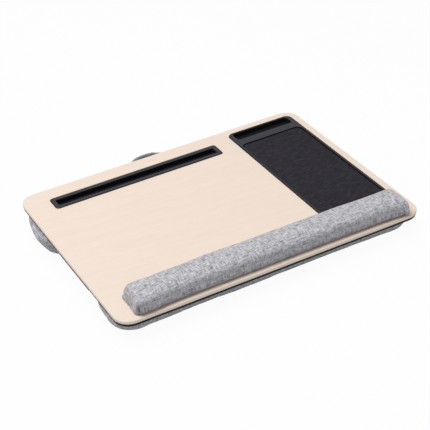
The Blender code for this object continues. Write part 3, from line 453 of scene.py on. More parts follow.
@dataclass(frozen=True)
class MottledLinen:
    """Polyester linen, plain-woven from light and dark slubbed yarns.

    Attributes:
        slub_levels: Levels of the slubs' noise at which the yarn is dark, middle and pale.
        knot_levels: Levels of a second noise between which dark flecks set in.
        knot_share: How much of their colour the flecks take.
    """

    name: str = "linen_plain_woven"
    dark: str = "8A898F"
    middle: str = "BDBCC2"
    pale: str = "D9D8DD"
    fleck: str = "706F75"
    # Painted shade that the attribute named fold lays on.
    shade: str = "3A393F"
    thread_mm: float = 1.1
    warp_mm: Pair = (15.0, 1.7)
    weft_mm: Pair = (11.0, 2.6)
    cloud_mm: float = 16.0
    cloud_share: float = 0.14
    slub_levels: tuple[float, float, float] = (0.86, 1.07, 1.27)
    knot_levels: Pair = (0.60, 0.74)
    knot_share: float = 0.75
    slub_height: float = 1.4
    depth_mm: float = 0.28

    def build(self) -> Material:
        """Makes the material.

        Returns:
            Slubs running both ways in pale and dark grey over a fine over-and-under weave, and painted shade
            where the attribute named fold holds it. The slubs are drawn about twice as thick as the real
            yarn, so that they show.
        """
        material, tree, shader = new_material(self.name)
        cloth = add(tree, "UVMap", uv_map="cloth")

        def slubs(across: bool, offset: float) -> Node:
            """Noise drawn out along the weft, or across it along the warp."""
            long, thick = map(per_metre, self.warp_mm if across else self.weft_mm)
            scale = (thick, long, thick) if across else (long, thick, thick)
            place = {"Vector": cloth, "Location": (offset, offset, 0), "Scale": scale}
            yarn = {"Vector": add(tree, "Mapping", place), "Scale": 1.0, "Detail": 2.5, "Roughness": 0.6}
            return add(tree, "TexNoise", yarn)

        both = add(tree, "Math", {0: slubs(False, 0.0), 1: slubs(True, 3.7)}, operation="ADD")
        clouds = add(tree, "TexNoise", {"Vector": cloth, "Scale": per_metre(self.cloud_mm), "Detail": 2.0})
        drift = add(tree, "Math", {0: clouds, 1: self.cloud_share, 2: both}, operation="MULTIPLY_ADD")
        knots = add(tree, "Math", {0: slubs(False, 9.1), 1: slubs(True, 12.9)}, operation="MAXIMUM")
        # Painted shade from the attribute named fold: the foot's shadow and the shade in the end folds and
        # tucks.
        folds = add(tree, "Attribute", attribute_name="fold").outputs["Fac"]
        layers = (
            (drift, *self.slub_levels[:2], 1.0, "SMOOTHSTEP", self.middle),
            (drift, *self.slub_levels[1:], 1.0, "SMOOTHSTEP", self.pale),
            (knots, *self.knot_levels, self.knot_share, "SMOOTHSTEP", self.fleck),
            (folds, 0.0, 1.0, 1.0, "LINEAR", self.shade),
        )
        tone, _ = lay(tree, self.dark, layers)
        turns = []
        for axis in add(tree, "SeparateXYZ", {"Vector": cloth}).outputs[:2]:
            angle = add(tree, "Math", {0: axis, 1: math.pi * per_metre(self.thread_mm)}, operation="MULTIPLY")
            turns.append(add(tree, "Math", {0: angle}, operation="SINE"))
        weave = add(tree, "Math", dict(enumerate(turns)), operation="MULTIPLY")
        height = add(tree, "Math", {0: both, 1: self.slub_height, 2: weave}, operation="MULTIPLY_ADD")
        bump = add(tree, "Bump", {"Height": height, "Strength": 0.7, "Distance": self.depth_mm * MM})
        feed(shader, {"Base Color": tone, "Normal": bump, "Roughness": 0.92, "Specular IOR Level": 0.2})
        feed(shader, {"Sheen Weight": 0.25, "Sheen Roughness": 0.5})
        return material


@dataclass(frozen=True)
class ZincSteel:
    """Mild steel screws, cold-headed and zinc plated."""

    name: str = "steel_zinc_plated"
    colour: str = "C6C7CA"
    dull: str = "A8A9AE"
    blotch_mm: float = 1.4

    def build(self) -> Material:
        """Makes the material.

        Returns:
            A satin metal whose plating clouds a little from place to place.
        """
        material, tree, shader = new_material(self.name)
        place = {"Vector": board_coordinates(tree), "Scale": per_metre(self.blotch_mm), "Detail": 3.0}
        blotch = add(tree, "TexNoise", place)
        tone, _ = lay(tree, self.colour, ((blotch, 0.0, 1.0, 1.0, "LINEAR", self.dull),))
        gloss = add(tree, "MapRange", {"Value": blotch, "To Min": 0.28, "To Max": 0.46})
        feed(shader, {"Base Color": tone, "Roughness": gloss, "Metallic": 1.0})
        return material


@dataclass(frozen=True)
class SpeckledSheet:
    """Pressed fibreboard, paper-backed tape or spun thread: a matt surface flecked with fibres."""

    name: str
    colour: str
    fleck: str
    fleck_mm: float
    roughness: float
    depth_mm: float = 0.1

    def build(self) -> Material:
        """Makes the material.

        Returns:
            A matt colour with small darker flecks, which stand out a little.
        """
        material, tree, shader = new_material(self.name)
        place = {"Vector": board_coordinates(tree), "Scale": per_metre(self.fleck_mm), "Detail": 4.0}
        flecks = add(tree, "TexNoise", place)
        tone, _ = lay(tree, self.colour, ((flecks, 0.45, 0.75, 1.0, "LINEAR", self.fleck),))
        bump = add(tree, "Bump", {"Height": flecks, "Strength": 0.4, "Distance": self.depth_mm * MM})
        feed(shader, {"Base Color": tone, "Normal": bump, "Roughness": self.roughness})
        return material


def dress(nodes: list[str], material: Material) -> None:
    """Gives CAD nodes a finish.

    Args:
        nodes: Names of the nodes.
        material: The material that all their slots get.
    """
    for name in nodes:
        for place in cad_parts[name].material_slots:
            place.material = material
        LOG.info("%s: %s", name, material.name)


def show(name: str, data: bpy.types.ID) -> Object:
    """Puts an object with the given mesh, light or camera in the scene."""
    made = bpy.data.objects.new(name, data)
    bpy.context.scene.collection.objects.link(made)
    return made


def show_mesh(name: str, bm: BMesh, material: Material) -> Object:
    """Puts an object made of a bmesh, which is freed, in the scene."""
    mesh = bpy.data.meshes.new(name)
    bm.to_mesh(mesh)
    bm.free()
    mesh.materials.append(material)
    return show(name, mesh)


def new_piece(name: str, bm: BMesh, material: Material, body: str, nodes: list[str]) -> Object:
    """Makes an object of a bmesh shaped in the board frame.

    Args:
        name: The piece's name.
        bm: Its shape, which is freed.
        material: Its finish.
        body: The CAD body that it rides on.
        nodes: The CAD nodes that it stands for.

    Returns:
        The object, at the origin of the row frame.
    """
    bm.transform(TO_ROW)
    bm.normal_update()
    piece = show_mesh(name, bm, material)
    piece.data.shade_smooth()
    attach(piece, body)
    if nodes:
        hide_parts(*nodes)
    LOG.info("%s: %d faces, %s", name, len(piece.data.polygons), material.name)
    return piece


def block(half: Vector, cells: tuple[int, int, int]) -> BMesh:
    """A box about the origin, cut into cells, with its faces unrolled into the UV map named cloth.

    Args:
        half: Half its size along each axis.
        cells: Number of cells along each axis.

    Returns:
        The box. Its UV map is in metres and runs on from the top over the front and over both ends.
    """
    bm = bmesh.new()
    bmesh.ops.create_cube(bm, size=2)
    for axis, count in enumerate(cells):
        along = [e for e in bm.edges if abs(e.verts[0].co[axis] - e.verts[1].co[axis]) > 1]
        if count > 1:
            bmesh.ops.subdivide_edges(bm, edges=along, cuts=count - 1, use_grid_fill=True)
    bmesh.ops.scale(bm, vec=half, verts=bm.verts)
    bm.normal_update()
    layer = bm.loops.layers.uv.new("cloth")
    for face in bm.faces:
        normal = face.normal
        for loop in face.loops:
            x, y, z = loop.vert.co
            drop = half.z - z
            if abs(normal.x) > MOSTLY:
                place = (math.copysign(half.x + drop, normal.x), y)
            elif normal.y < -MOSTLY:
                place = (x, -half.y - drop)
            elif normal.y > MOSTLY:
                place = (x, half.y + drop)
            elif normal.z < 0:
                place = (x, -half.y - 2 * half.z - (half.y + y))
            else:
                place = (x, y)
            loop[layer].uv = place
    return bm


def sweep(stations: list[Matrix], sides: int) -> BMesh:
    """Draws a closed tube through flattened circles.

    Args:
        stations: For each section, the matrix that places a unit circle of its XY plane.
        sides: Number of corners of each section.

    Returns:
        The tube with both ends closed. Its UV map, named cloth, is in metres, along it and round it.
    """
    bm = bmesh.new()
    along, about = bm.verts.layers.float.new("along"), bm.verts.layers.int.new("about")
    gone, before, rings = 0.0, None, []
    girth = 2 * math.pi * max(station.to_scale().x for station in stations)
    for station in stations:
        gone += (station.translation - before).length if before else 0.0
        before = station.translation
        ring = bmesh.ops.create_circle(bm, segments=sides, radius=1, matrix=station)["verts"]
        for number, vert in enumerate(ring):
            vert[along], vert[about] = gone, number
        rings.append([edge for edge in bm.edges if edge.verts[0] in ring and edge.verts[1] in ring])
    for lower, upper in zip(rings, rings[1:]):
        bmesh.ops.bridge_loops(bm, edges=lower + upper)
    for ends in (rings[0], rings[-1]):
        bmesh.ops.contextual_create(bm, geom=ends)
    bmesh.ops.recalc_face_normals(bm, faces=bm.faces)
    layer = bm.loops.layers.uv.new("cloth")
    for face in bm.faces:
        wraps = max(vert[about] for vert in face.verts) == sides - 1 and len(face.verts) == 4
        for loop in face.loops:
            number = sides if wraps and loop.vert[about] == 0 else loop.vert[about]
            loop[layer].uv = (loop.vert[along], girth * number / sides)
    return bm


@dataclass
class StuffedForm:
    """A stuffed pad on a rounded plan, fixed along its seam: it swells out, then curves over to a crown.

    Attributes:
        low: Lowest corner of the space that it fills, in the board frame.
        high: Highest corner of that space.
        facing: Which way it stands out from its seam.
        corner: Radius of its plan.
        shoulder: How far the curve at its edge reaches inwards, along X and along Y.
        crown: How much higher its middle is than its shoulders.
        crown_powers: How late the crown falls off, along X and along Y.
        swell: How far its sides stand out past the seam.
        power: Exponent of its profile, where 2 is an ellipse and more is squarer.
        cell: Size of a mesh cell before the last subdivision.
        side_share: Share of the profile's quarter turn that lies on its sides, below the shoulders.
    """

    low: Vector
    high: Vector
    facing: Facing
    corner: float
    shoulder: Pair
    crown: float
    crown_powers: Pair
    swell: float
    power: float
    cell: float
    side_share: float = 0.55

    def outlined(self, x: float, y: float, half_x: float, half_y: float, reach: float) -> Pair:
        """Moves a point of a rectangle's boundary to the same one with round corners, smaller further in."""
        corner = min(self.corner * reach, half_x, half_y)
        core_x = max(-half_x + corner, min(half_x - corner, x))
        core_y = max(-half_y + corner, min(half_y - corner, y))
        away = math.hypot(x - core_x, y - core_y)
        if away == 0:
            return x, y
        return core_x + (x - core_x) / away * corner, core_y + (y - core_y) / away * corner

    def mesh(self) -> BMesh:
        """Builds the form.

        Returns:
            A closed mesh in the board frame with a UV map named cloth. Its vertices on the seam's plane
            hold 1 in the layer named held.
        """
        half = (self.high - self.low) / 2
        centre = (self.high + self.low) / 2
        half_x, half_y = half.x - self.swell, half.y - self.swell
        height = 2 * half.z - self.crown
        seam_z = self.low.z if self.facing is Facing.UP else self.high.z
        size = Vector((half_x, half_y, height / 2))
        cells = (round(2 * half_x / self.cell), round(2 * half_y / self.cell), round(height / self.cell))
        bm = block(size, (cells[0], cells[1], max(cells[2], 2)))
        held = bm.verts.layers.float.new("held")
        inner_x, inner_y = half_x - self.shoulder[0], half_y - self.shoulder[1]
        for vert in bm.verts:
            x, y, z = vert.co
            seam_side = self.facing.value * z <= -size.z
            on_side = abs(x) >= half_x * ON_SIDE or abs(y) >= half_y * ON_SIDE
            reach = 1.0
            if on_side:
                turn = self.side_share * self.drop(z, size.z)
                limit_x, limit_y = half_x, half_y
            elif seam_side:
                turn = 0.0
                reach = max(abs(x) / half_x, abs(y) / half_y)
                limit_x, limit_y = half_x * reach, half_y * reach
            else:
                edge = max((abs(x) - inner_x) / self.shoulder[0], (abs(y) - inner_y) / self.shoulder[1], 0.0)
                turn = 1 - (1 - self.side_share) * edge
                if edge == 0:
                    reach = max(abs(x) / inner_x, abs(y) / inner_y)
                limit_x = (inner_x + self.shoulder[0] * edge) * (reach if edge == 0 else 1)
                limit_y = (inner_y + self.shoulder[1] * edge) * (reach if edge == 0 else 1)
            depth = math.sin(turn * math.pi / 2) ** (2 / self.power)
            drawn = 1 - max(math.cos(turn * math.pi / 2), 0) ** (2 / self.power)
            swell = self.swell * math.sin(math.pi * depth)
            ring_x = (half_x - self.shoulder[0] * drawn) * reach + swell
            ring_y = (half_y - self.shoulder[1] * drawn) * reach + swell
            if limit_x > 0 and limit_y > 0:
                x, y = x / limit_x * ring_x, y / limit_y * ring_y
                x, y = self.outlined(x, y, ring_x, ring_y, reach)
            along = 1 - min(abs(x / half.x), 1) ** self.crown_powers[0]
            across = 1 - min(abs(y / half.y), 1) ** self.crown_powers[1]
            rise = depth * (height + self.crown * along * across)
            vert.co = (centre.x + x, centre.y + y, seam_z + self.facing.value * rise)
            vert[held] = 1.0 if seam_side else 0.0
        return bm

    def drop(self, z: float, half_height: float) -> float:
        """How far down a side a level lies, as a share of the side, counted from the seam."""
        return (half_height + self.facing.value * z) / (2 * half_height)


def inflate(pieces: list[Object], caps: list[float]) -> None:
    """Blows pads up by cloth simulation, held at their seams, and keeps the result as their mesh.

    Args:
        pieces: Pads whose mesh has the layer named held.
        caps: For each pad, how far a point of it may move.
    """
    for piece in pieces:
        group = piece.vertex_groups.new(name="seam")
        held = piece.data.attributes["held"].data
        group.add([i for i, item in enumerate(held) if item.value > MOSTLY], 1.0, "REPLACE")
        cloth = piece.modifiers.new("stuffing", "CLOTH")
        for name, value in STUFFING.items():
            setattr(cloth.settings, name, value)
        cloth.settings.effector_weights.gravity = 0
        cloth.collision_settings.use_collision = False
        cloth.collision_settings.use_self_collision = False
    scene = bpy.context.scene
    for number in range(1, INFLATION_FRAMES + 1):
        scene.frame_set(number)
    graph = bpy.context.evaluated_depsgraph_get()
    for piece, cap in zip(pieces, caps):
        swollen = [vert.co.copy() for vert in piece.evaluated_get(graph).data.vertices]
        for vert, place in zip(piece.data.vertices, swollen):
            move = place - vert.co
            vert.co += move * (min(1, cap / move.length) if move.length else 1)
        piece.modifiers.clear()
        piece.vertex_groups.clear()
    scene.frame_set(1)


def refine(piece: Object, levels: int) -> None:
    """Subdivides a piece's mesh smoothly and keeps the result."""
    smooth = piece.modifiers.new("smooth", "SUBSURF")
    smooth.levels = smooth.render_levels = levels
    smooth.boundary_smooth = "PRESERVE_CORNERS"
    graph = bpy.context.evaluated_depsgraph_get()
    mesh = bpy.data.meshes.new_from_object(piece.evaluated_get(graph))
    piece.modifiers.clear()
    piece.data = mesh
    mesh.shade_smooth()


def move_points(piece: Object, shift: Callable[[Vector, Vector], Vector]) -> None:
    """Moves a piece's points, given and returned in the board frame.

    Args:
        piece: A piece whose mesh lies in the row frame.
        shift: Takes a point and its normal in the board frame, and gives the point's new place there.
    """
    turn = TO_BOARD.to_3x3()
    normals = [turn @ item.vector for item in piece.data.vertex_normals]
    for vert, normal in zip(piece.data.vertices, normals):
        vert.co = TO_ROW @ shift(TO_BOARD @ vert.co, normal)
    piece.data.update()


@dataclass(frozen=True)
class GatheredEnd:
    """How the linen is folded in at one end of the wrist rest.

    Attributes:
        side: Which end, as the sign of its X.
        inset: How far its face is drawn in above the foot.
        skew: How far the front of the end stands out past its rear.
        rounded: How far the upper rear corner is drawn in.
        fold: Depth of the fold up the front corner.
        ear: How far the folded corner stands out in front of the foot.
        tuck: Depth of the tuck beside the ear.
        tuck_at: Distance from the end to that tuck.
    """

    side: int
    inset: float
    skew: float
    rounded: float
    fold: float
    ear: float
    tuck: float
    tuck_at: float


@dataclass(frozen=True)
class Sway:
    """A stretch of the wrist rest that lies off its straight line.

    Attributes:
        middle: Where along the rest, in the board frame.
        width: How far from there it dies away.
        front: How far its front stands forward.
        rear: How far its rear stands back.
    """

    middle: float
    width: float
    front: float
    rear: float


def bell(distance: float, width: float) -> float:
    """A bump of height 1 that dies away over the given width."""
    return math.exp(-((distance / width) ** 2))


def ramp(value: float, start: float, end: float) -> float:
    """A smooth step from 0 at the start to 1 at the end."""
    share = min(max((value - start) / (end - start), 0), 1)
    return share * share * (3 - 2 * share)


@dataclass
class WristRest:
    """The padded bar along the front: linen drawn over foam and stapled under a plate.

    Attributes:
        slack: Room left between the pad and the CAD's cover before it is blown up.
        cap: How far blowing up may move a point.
        hollow: How far the front is drawn in halfway up.
        overhang: How far the front hangs out over its foot.
        front_power: How close to the front the folds there stay.
        lump_mm: Length and height of the foam's lumps.
        puckers: The linen's puckers along and across the rest, in repeats per metre, and their height.
        pleat_mm: Distance between the pleats at the ends, their depth, and how far in they go.
        end_reach: How far in from an end its shape is drawn in.
        corner_reach: How far from the upper rear corner its rounding reaches.
        fold: How far in from both faces of the front corner its fold lies, and the fold's width.
        tuck_width: Width of the tuck beside the folded corner.
        shading: How dark the painted shadow at the foot and the painted shade in the left fold, the right
            fold and the tucks are.
    """

    cover: str = "wrist_rest_cover"
    corner: float = 6 * MM
    shoulder: Pair = (8 * MM, 10 * MM)
    crown: float = 2.5 * MM
    swell: float = 1.2 * MM
    cell: float = 2.7 * MM
    slack: float = 0.5 * MM
    cap: float = 1.0 * MM
    hollow: float = 0.9 * MM
    overhang: float = 2.6 * MM
    front_power: int = 6
    lump_mm: Pair = (38.0, 0.5)
    puckers: tuple[float, float, float] = (240.0, 80.0, 0.25 * MM)
    pleat_mm: tuple[float, float, float] = (9.0, 0.35, 3.0)
    end_reach: float = 22 * MM
    corner_reach: float = 10 * MM
    fold: Pair = (2.2 * MM, 2.3 * MM)
    tuck_width: float = 2.2 * MM
    shading: tuple[float, float, float, float] = (0.27, 0.8, 0.5, 0.5)
    ends: tuple[GatheredEnd, ...] = (
        GatheredEnd(-1, 4.2 * MM, 2.6 * MM, 2.4 * MM, 3.6 * MM, 0.8 * MM, 1.0 * MM, 19 * MM),
        GatheredEnd(1, 2.0 * MM, 0.0, 3.0 * MM, 2.0 * MM, 10.0 * MM, 2.2 * MM, 17 * MM),
    )
    sways: tuple[Sway, ...] = (
        Sway(-250 * MM, 36 * MM, 4.0 * MM, 0.0),
        Sway(-105 * MM, 30 * MM, 0.0, 3.4 * MM),
        Sway(230 * MM, 60 * MM, 1.2 * MM, -4.2 * MM),
        Sway(266 * MM, 30 * MM, 4.0 * MM, 0.0),
    )
    piece: Object | None = None

    def build(self, linen: Material) -> None:
        """Models the bar as it is before it is blown up."""
        low, high = board_box(self.cover)
        inset = Vector((self.slack, self.slack, 0))
        space = (low + inset, high - inset - Vector((0, 0, self.slack)))
        shape = (self.corner, self.shoulder, self.crown, (8, 2.4), self.swell, 3.0, self.cell)
        form = StuffedForm(*space, Facing.UP, *shape)
        nodes = [self.cover, "wrist_rest_foam"]
        self.piece = new_piece("wrist_rest", form.mesh(), linen, "desk", nodes)

    def crease(self) -> None:
        """Adds the folds at the ends, the front's overhang and sway, and the foam's slight lumps, and keeps
        painted shade for the foot and the folds.
        """
        low, high = board_box(self.cover)
        middle, half = (low + high) / 2, (high - low) / 2
        along, across, height = self.puckers
        scale = Vector((along, across, across))
        foot_shade, left_shade, right_shade, tuck_shade = self.shading
        painted_shade_amounts = []

        def shift(point: Vector, normal: Vector) -> Vector:
            """Gives one point its place among the folds, and keeps how much painted shade it takes at the
            foot, in the end folds and in the tucks.
            """
            rise = (point.z - low.z) / (high.z - low.z)
            ahead = (middle.y - point.y) / half.y
            before, behind = max(ahead, 0), max(-ahead, 0)
            front = before**self.front_power
            body = ramp(rise, 0.04, 0.2)
            lumps = noise.noise(point * per_metre(self.lump_mm[0])) * self.lump_mm[1] * MM
            pucker = noise.noise(point * scale) * height
            moved = point + normal * (lumps + pucker) * min(rise * 3, 1)
            overhang = self.overhang * body * ramp(1.08 - rise, 0, 0.3)
            moved.y += front * (self.hollow * bell(rise - 0.5, 0.18) - overhang)
            # Painted shadow along the foot of the front.
            deep = foot_shade * front * ramp(0.95 - rise, 0, 0.25)
            for sway in self.sways:
                share = bell(point.x - sway.middle, sway.width) * body
                moved.y += share * (sway.rear * behind - sway.front * before * before)
            for end in self.ends:
                from_end = high.x - point.x if end.side > 0 else point.x - low.x
                drawn_in = end.inset * body - end.skew * before
                moved.x -= end.side * bell(from_end, self.end_reach) * drawn_in
                away = math.hypot(from_end - 1 * MM, high.y - point.y - 1 * MM)
                cut = end.rounded * bell(away, self.corner_reach) * ramp(rise, 0.1, 0.9)
                moved += Vector((-end.side, -1, 0)) * cut
                tuck = bell(from_end - end.tuck_at, self.tuck_width) * max(1 - rise * 1.4, 0)
                ear = bell(from_end - end.tuck_at * 0.35, end.tuck_at * 0.45) * max(1 - rise * 1.1, 0)
                moved -= front * ear * end.ear * body * Vector((end.side * 0.55, 1, 0))
                moved.y += front * tuck * end.tuck
                fold_at, fold_width = self.fold
                away = math.hypot(from_end - fold_at, point.y - low.y - fold_at)
                fold = bell(away, fold_width) * ramp(rise, 0.0, 0.25) * ramp(1.15 - rise, 0.0, 0.4)
                moved += Vector((-end.side, 1, 0)).normalized() * end.fold * fold
                # Painted shade in the end folds and in the tucks.
                deep += (left_shade if end.side < 0 else right_shade) * fold + tuck_shade * tuck * front
                pitch, depth, pleat_reach = self.pleat_mm
                pleats = math.sin(point.y * math.tau * per_metre(pitch) + end.side) * depth * MM
                moved.x += end.side * pleats * bell(from_end, pleat_reach * MM) * (1 - rise)
            moved.z = max(moved.z, low.z)
            painted_shade_amounts.append(min(deep, 0.9))
            return moved

        move_points(self.piece, shift)
        # The attribute named fold carries this painted shade to the linen.
        self.piece.data.attributes.new("fold", "FLOAT", "POINT").data.foreach_set("value", painted_shade_amounts)


@dataclass(frozen=True)
class Bulge:
    """A place on a bolster's side where the beads push the linen out, or leave it slack.

    Attributes:
        outwards: Which side, as a direction in the board's plane.
        middle: Where along that side, in the board frame.
        width: How far from there it dies away.
        amount: How far it stands out, negative where it is slack.
        start: How far below the seam it begins, as a share of the height, so that the board stays covered.
        reach: How far in from the side the linen moves along.
        shape: Powers that set how far down its fullest level lies, and how full it is above and below.
    """

    outwards: Pair
    middle: float
    width: float
    amount: float
    start: float = 0.075
    reach: float = 38 * MM
    shape: Pair = (0.6, 0.7)

    def push(self, point: Vector, low: Vector, high: Vector) -> Vector:
        """Gives the move of one point of a bolster that fills the box from low to high."""
        outwards = Vector((*self.outwards, 0))
        along = point.y if self.outwards[0] else point.x
        side = high if sum(self.outwards) > 0 else low
        from_side = (side - point).dot(outwards)
        depth = (high.z - point.z) / (high.z - low.z)
        depth = min(max((depth - self.start) / (1 - self.start), 0.0), 1.0)
        share = bell(along - self.middle, self.width) * bell(from_side, self.reach)
        fullness = max(math.sin(math.pi * depth ** self.shape[0]), 0.0) ** self.shape[1]
        return outwards * self.amount * share * fullness


@dataclass
class Bolster:
    """One stuffed bolster under the pan: a closed linen bag of beads, with a board inside its top.

    Attributes:
        lump_mm: Length and height of the lumps where the beads pack, and how far out they lie.
        wrinkle_mm: Length and height of the small wrinkles over them.
        pucker_mm: Length and height of the puckers along the seam.
        pucker_reach: How far down the puckers go, as a share of the height.
    """

    prefix: str
    shoulder: Pair
    crown: float
    bulges: tuple[Bulge, ...]
    corner: float = 42 * MM
    slack: float = 0.3 * MM
    cap: float = 1.2 * MM
    swell: float = 2.5 * MM
    cell: float = 5.6 * MM
    lump_mm: tuple[float, float, float] = (66.0, 0.6, 0.4)
    wrinkle_mm: Pair = (17.0, 0.4)
    pucker_mm: Pair = (9.0, 0.8)
    pucker_reach: float = 0.16
    piece: Object | None = None

    def build(self, linen: Material) -> None:
        """Models the bolster as it is before it is blown up."""
        cover, fill = f"{self.prefix}_cushion_cover", f"{self.prefix}_cushion_fill"
        low, high = board_box(cover)
        inset = Vector((self.slack, self.slack, 0))
        space = (low + inset + Vector((0, 0, self.slack)), high - inset)
        shape = (self.corner, self.shoulder, self.crown, (2, 2), self.swell, 2.3, self.cell)
        form = StuffedForm(*space, Facing.DOWN, *shape)
        name = f"{self.prefix}_bolster"
        self.piece = new_piece(name, form.mesh(), linen, "desk", [cover, fill])

    def settle(self) -> None:
        """Adds lumps where the beads pack, puckers along the seam, and the flat that it stands on."""
        low, high = board_box(f"{self.prefix}_cushion_cover")

        def shift(point: Vector, normal: Vector) -> Vector:
            """Gives one point its place among the lumps, and keeps it above the floor."""
            drop = (high.z - point.z) / (high.z - low.z)
            free = min(drop * 4, 1)
            length, height, outwards = self.lump_mm
            lumps = noise.noise(point * per_metre(length)) * height + outwards
            wrinkles = noise.noise(point * per_metre(self.wrinkle_mm[0])) * self.wrinkle_mm[1]
            plan = Vector((point.x, point.y, 0))
            puckers = noise.noise(plan * per_metre(self.pucker_mm[0])) * self.pucker_mm[1]
            puckers *= bell(drop, self.pucker_reach) * min(drop * 12, 1)
            moved = point + normal * ((lumps + wrinkles) * free + puckers) * MM
            for bulge in self.bulges:
                moved += bulge.push(point, low, high)
            moved.z = min(moved.z, high.z)
            floor = TO_ROW @ moved
            floor.z = max(floor.z, 0)
            return TO_BOARD @ floor

        move_points(self.piece, shift)


@dataclass
class CentreFabric:
    """The flat lining that is stretched under the pan, between the two bolsters.

    Attributes:
        node: The CAD node that it stands for.
        cell: Size of a mesh cell.
        sag: How far its middle hangs down.
        ripples: Its ripples along X and Y, in repeats per metre.
        ripple_share: Height of the ripples as a share of the sag.
        wall: Its thickness.
        lift: How far it lies above the lowest level of the node.
    """

    node: str = "centre_fabric"
    cell: float = 6 * MM
    sag: float = 0.8 * MM
    ripples: Vector = field(default_factory=lambda: Vector((22, 60, 0)))
    ripple_share: float = 0.5
    wall: float = 0.7 * MM
    lift: float = 0.4 * MM

    def build(self, linen: Material) -> None:
        """Models the lining with a slight sag and small ripples."""
        low, high = board_box(self.node)
        size = high - low
        bm = bmesh.new()
        across, deep = round(size.x / self.cell), round(size.y / self.cell)
        bmesh.ops.create_grid(bm, x_segments=across, y_segments=deep, size=0.5)
        bmesh.ops.scale(bm, vec=(size.x, size.y, 1), verts=bm.verts)
        layer = bm.loops.layers.uv.new("cloth")
        for face in bm.faces:
            for loop in face.loops:
                loop[layer].uv = loop.vert.co.xy
        for vert in bm.verts:
            x, y = vert.co.x / (size.x / 2), vert.co.y / (size.y / 2)
            free = (1 - x * x) * (1 - y * y)
            ripple = noise.noise(vert.co * self.ripples) * self.ripple_share
            vert.co.z = -self.sag * free * (1 + ripple)
        middle = (low + high) / 2
        bmesh.ops.translate(bm, verts=bm.verts, vec=(middle.x, middle.y, low.z + self.lift))
        piece = new_piece("centre_lining", bm, linen, "desk", [self.node])
        wall = piece.modifiers.new("cloth", "SOLIDIFY")
        wall.thickness = self.wall
        wall.offset = 0


@dataclass
class MousePad:
    """The foam-backed leatherette sheet in the tray's bed."""

    nodes: tuple[str, str] = ("mouse_pad_sheet", "mouse_pad_foam")
    corner: float = 10 * MM
    shoulder: float = 1.6 * MM
    crown: float = 0.35 * MM
    cell: float = 2.4 * MM

    def build(self, leatherette: Material) -> None:
        """Models the pad with a rolled edge and a slight crown."""
        sheet_low, sheet_high = board_box(self.nodes[0])
        foam_low, _ = board_box(self.nodes[1])
        space = (Vector((*sheet_low.xy, foam_low.z)), sheet_high)
        shape = (self.corner, (self.shoulder,) * 2, self.crown, (4, 4), 0.0, 2.2, self.cell)
        form = StuffedForm(*space, Facing.UP, *shape)
        piece = new_piece("mouse_pad", form.mesh(), leatherette, "desk", list(self.nodes))


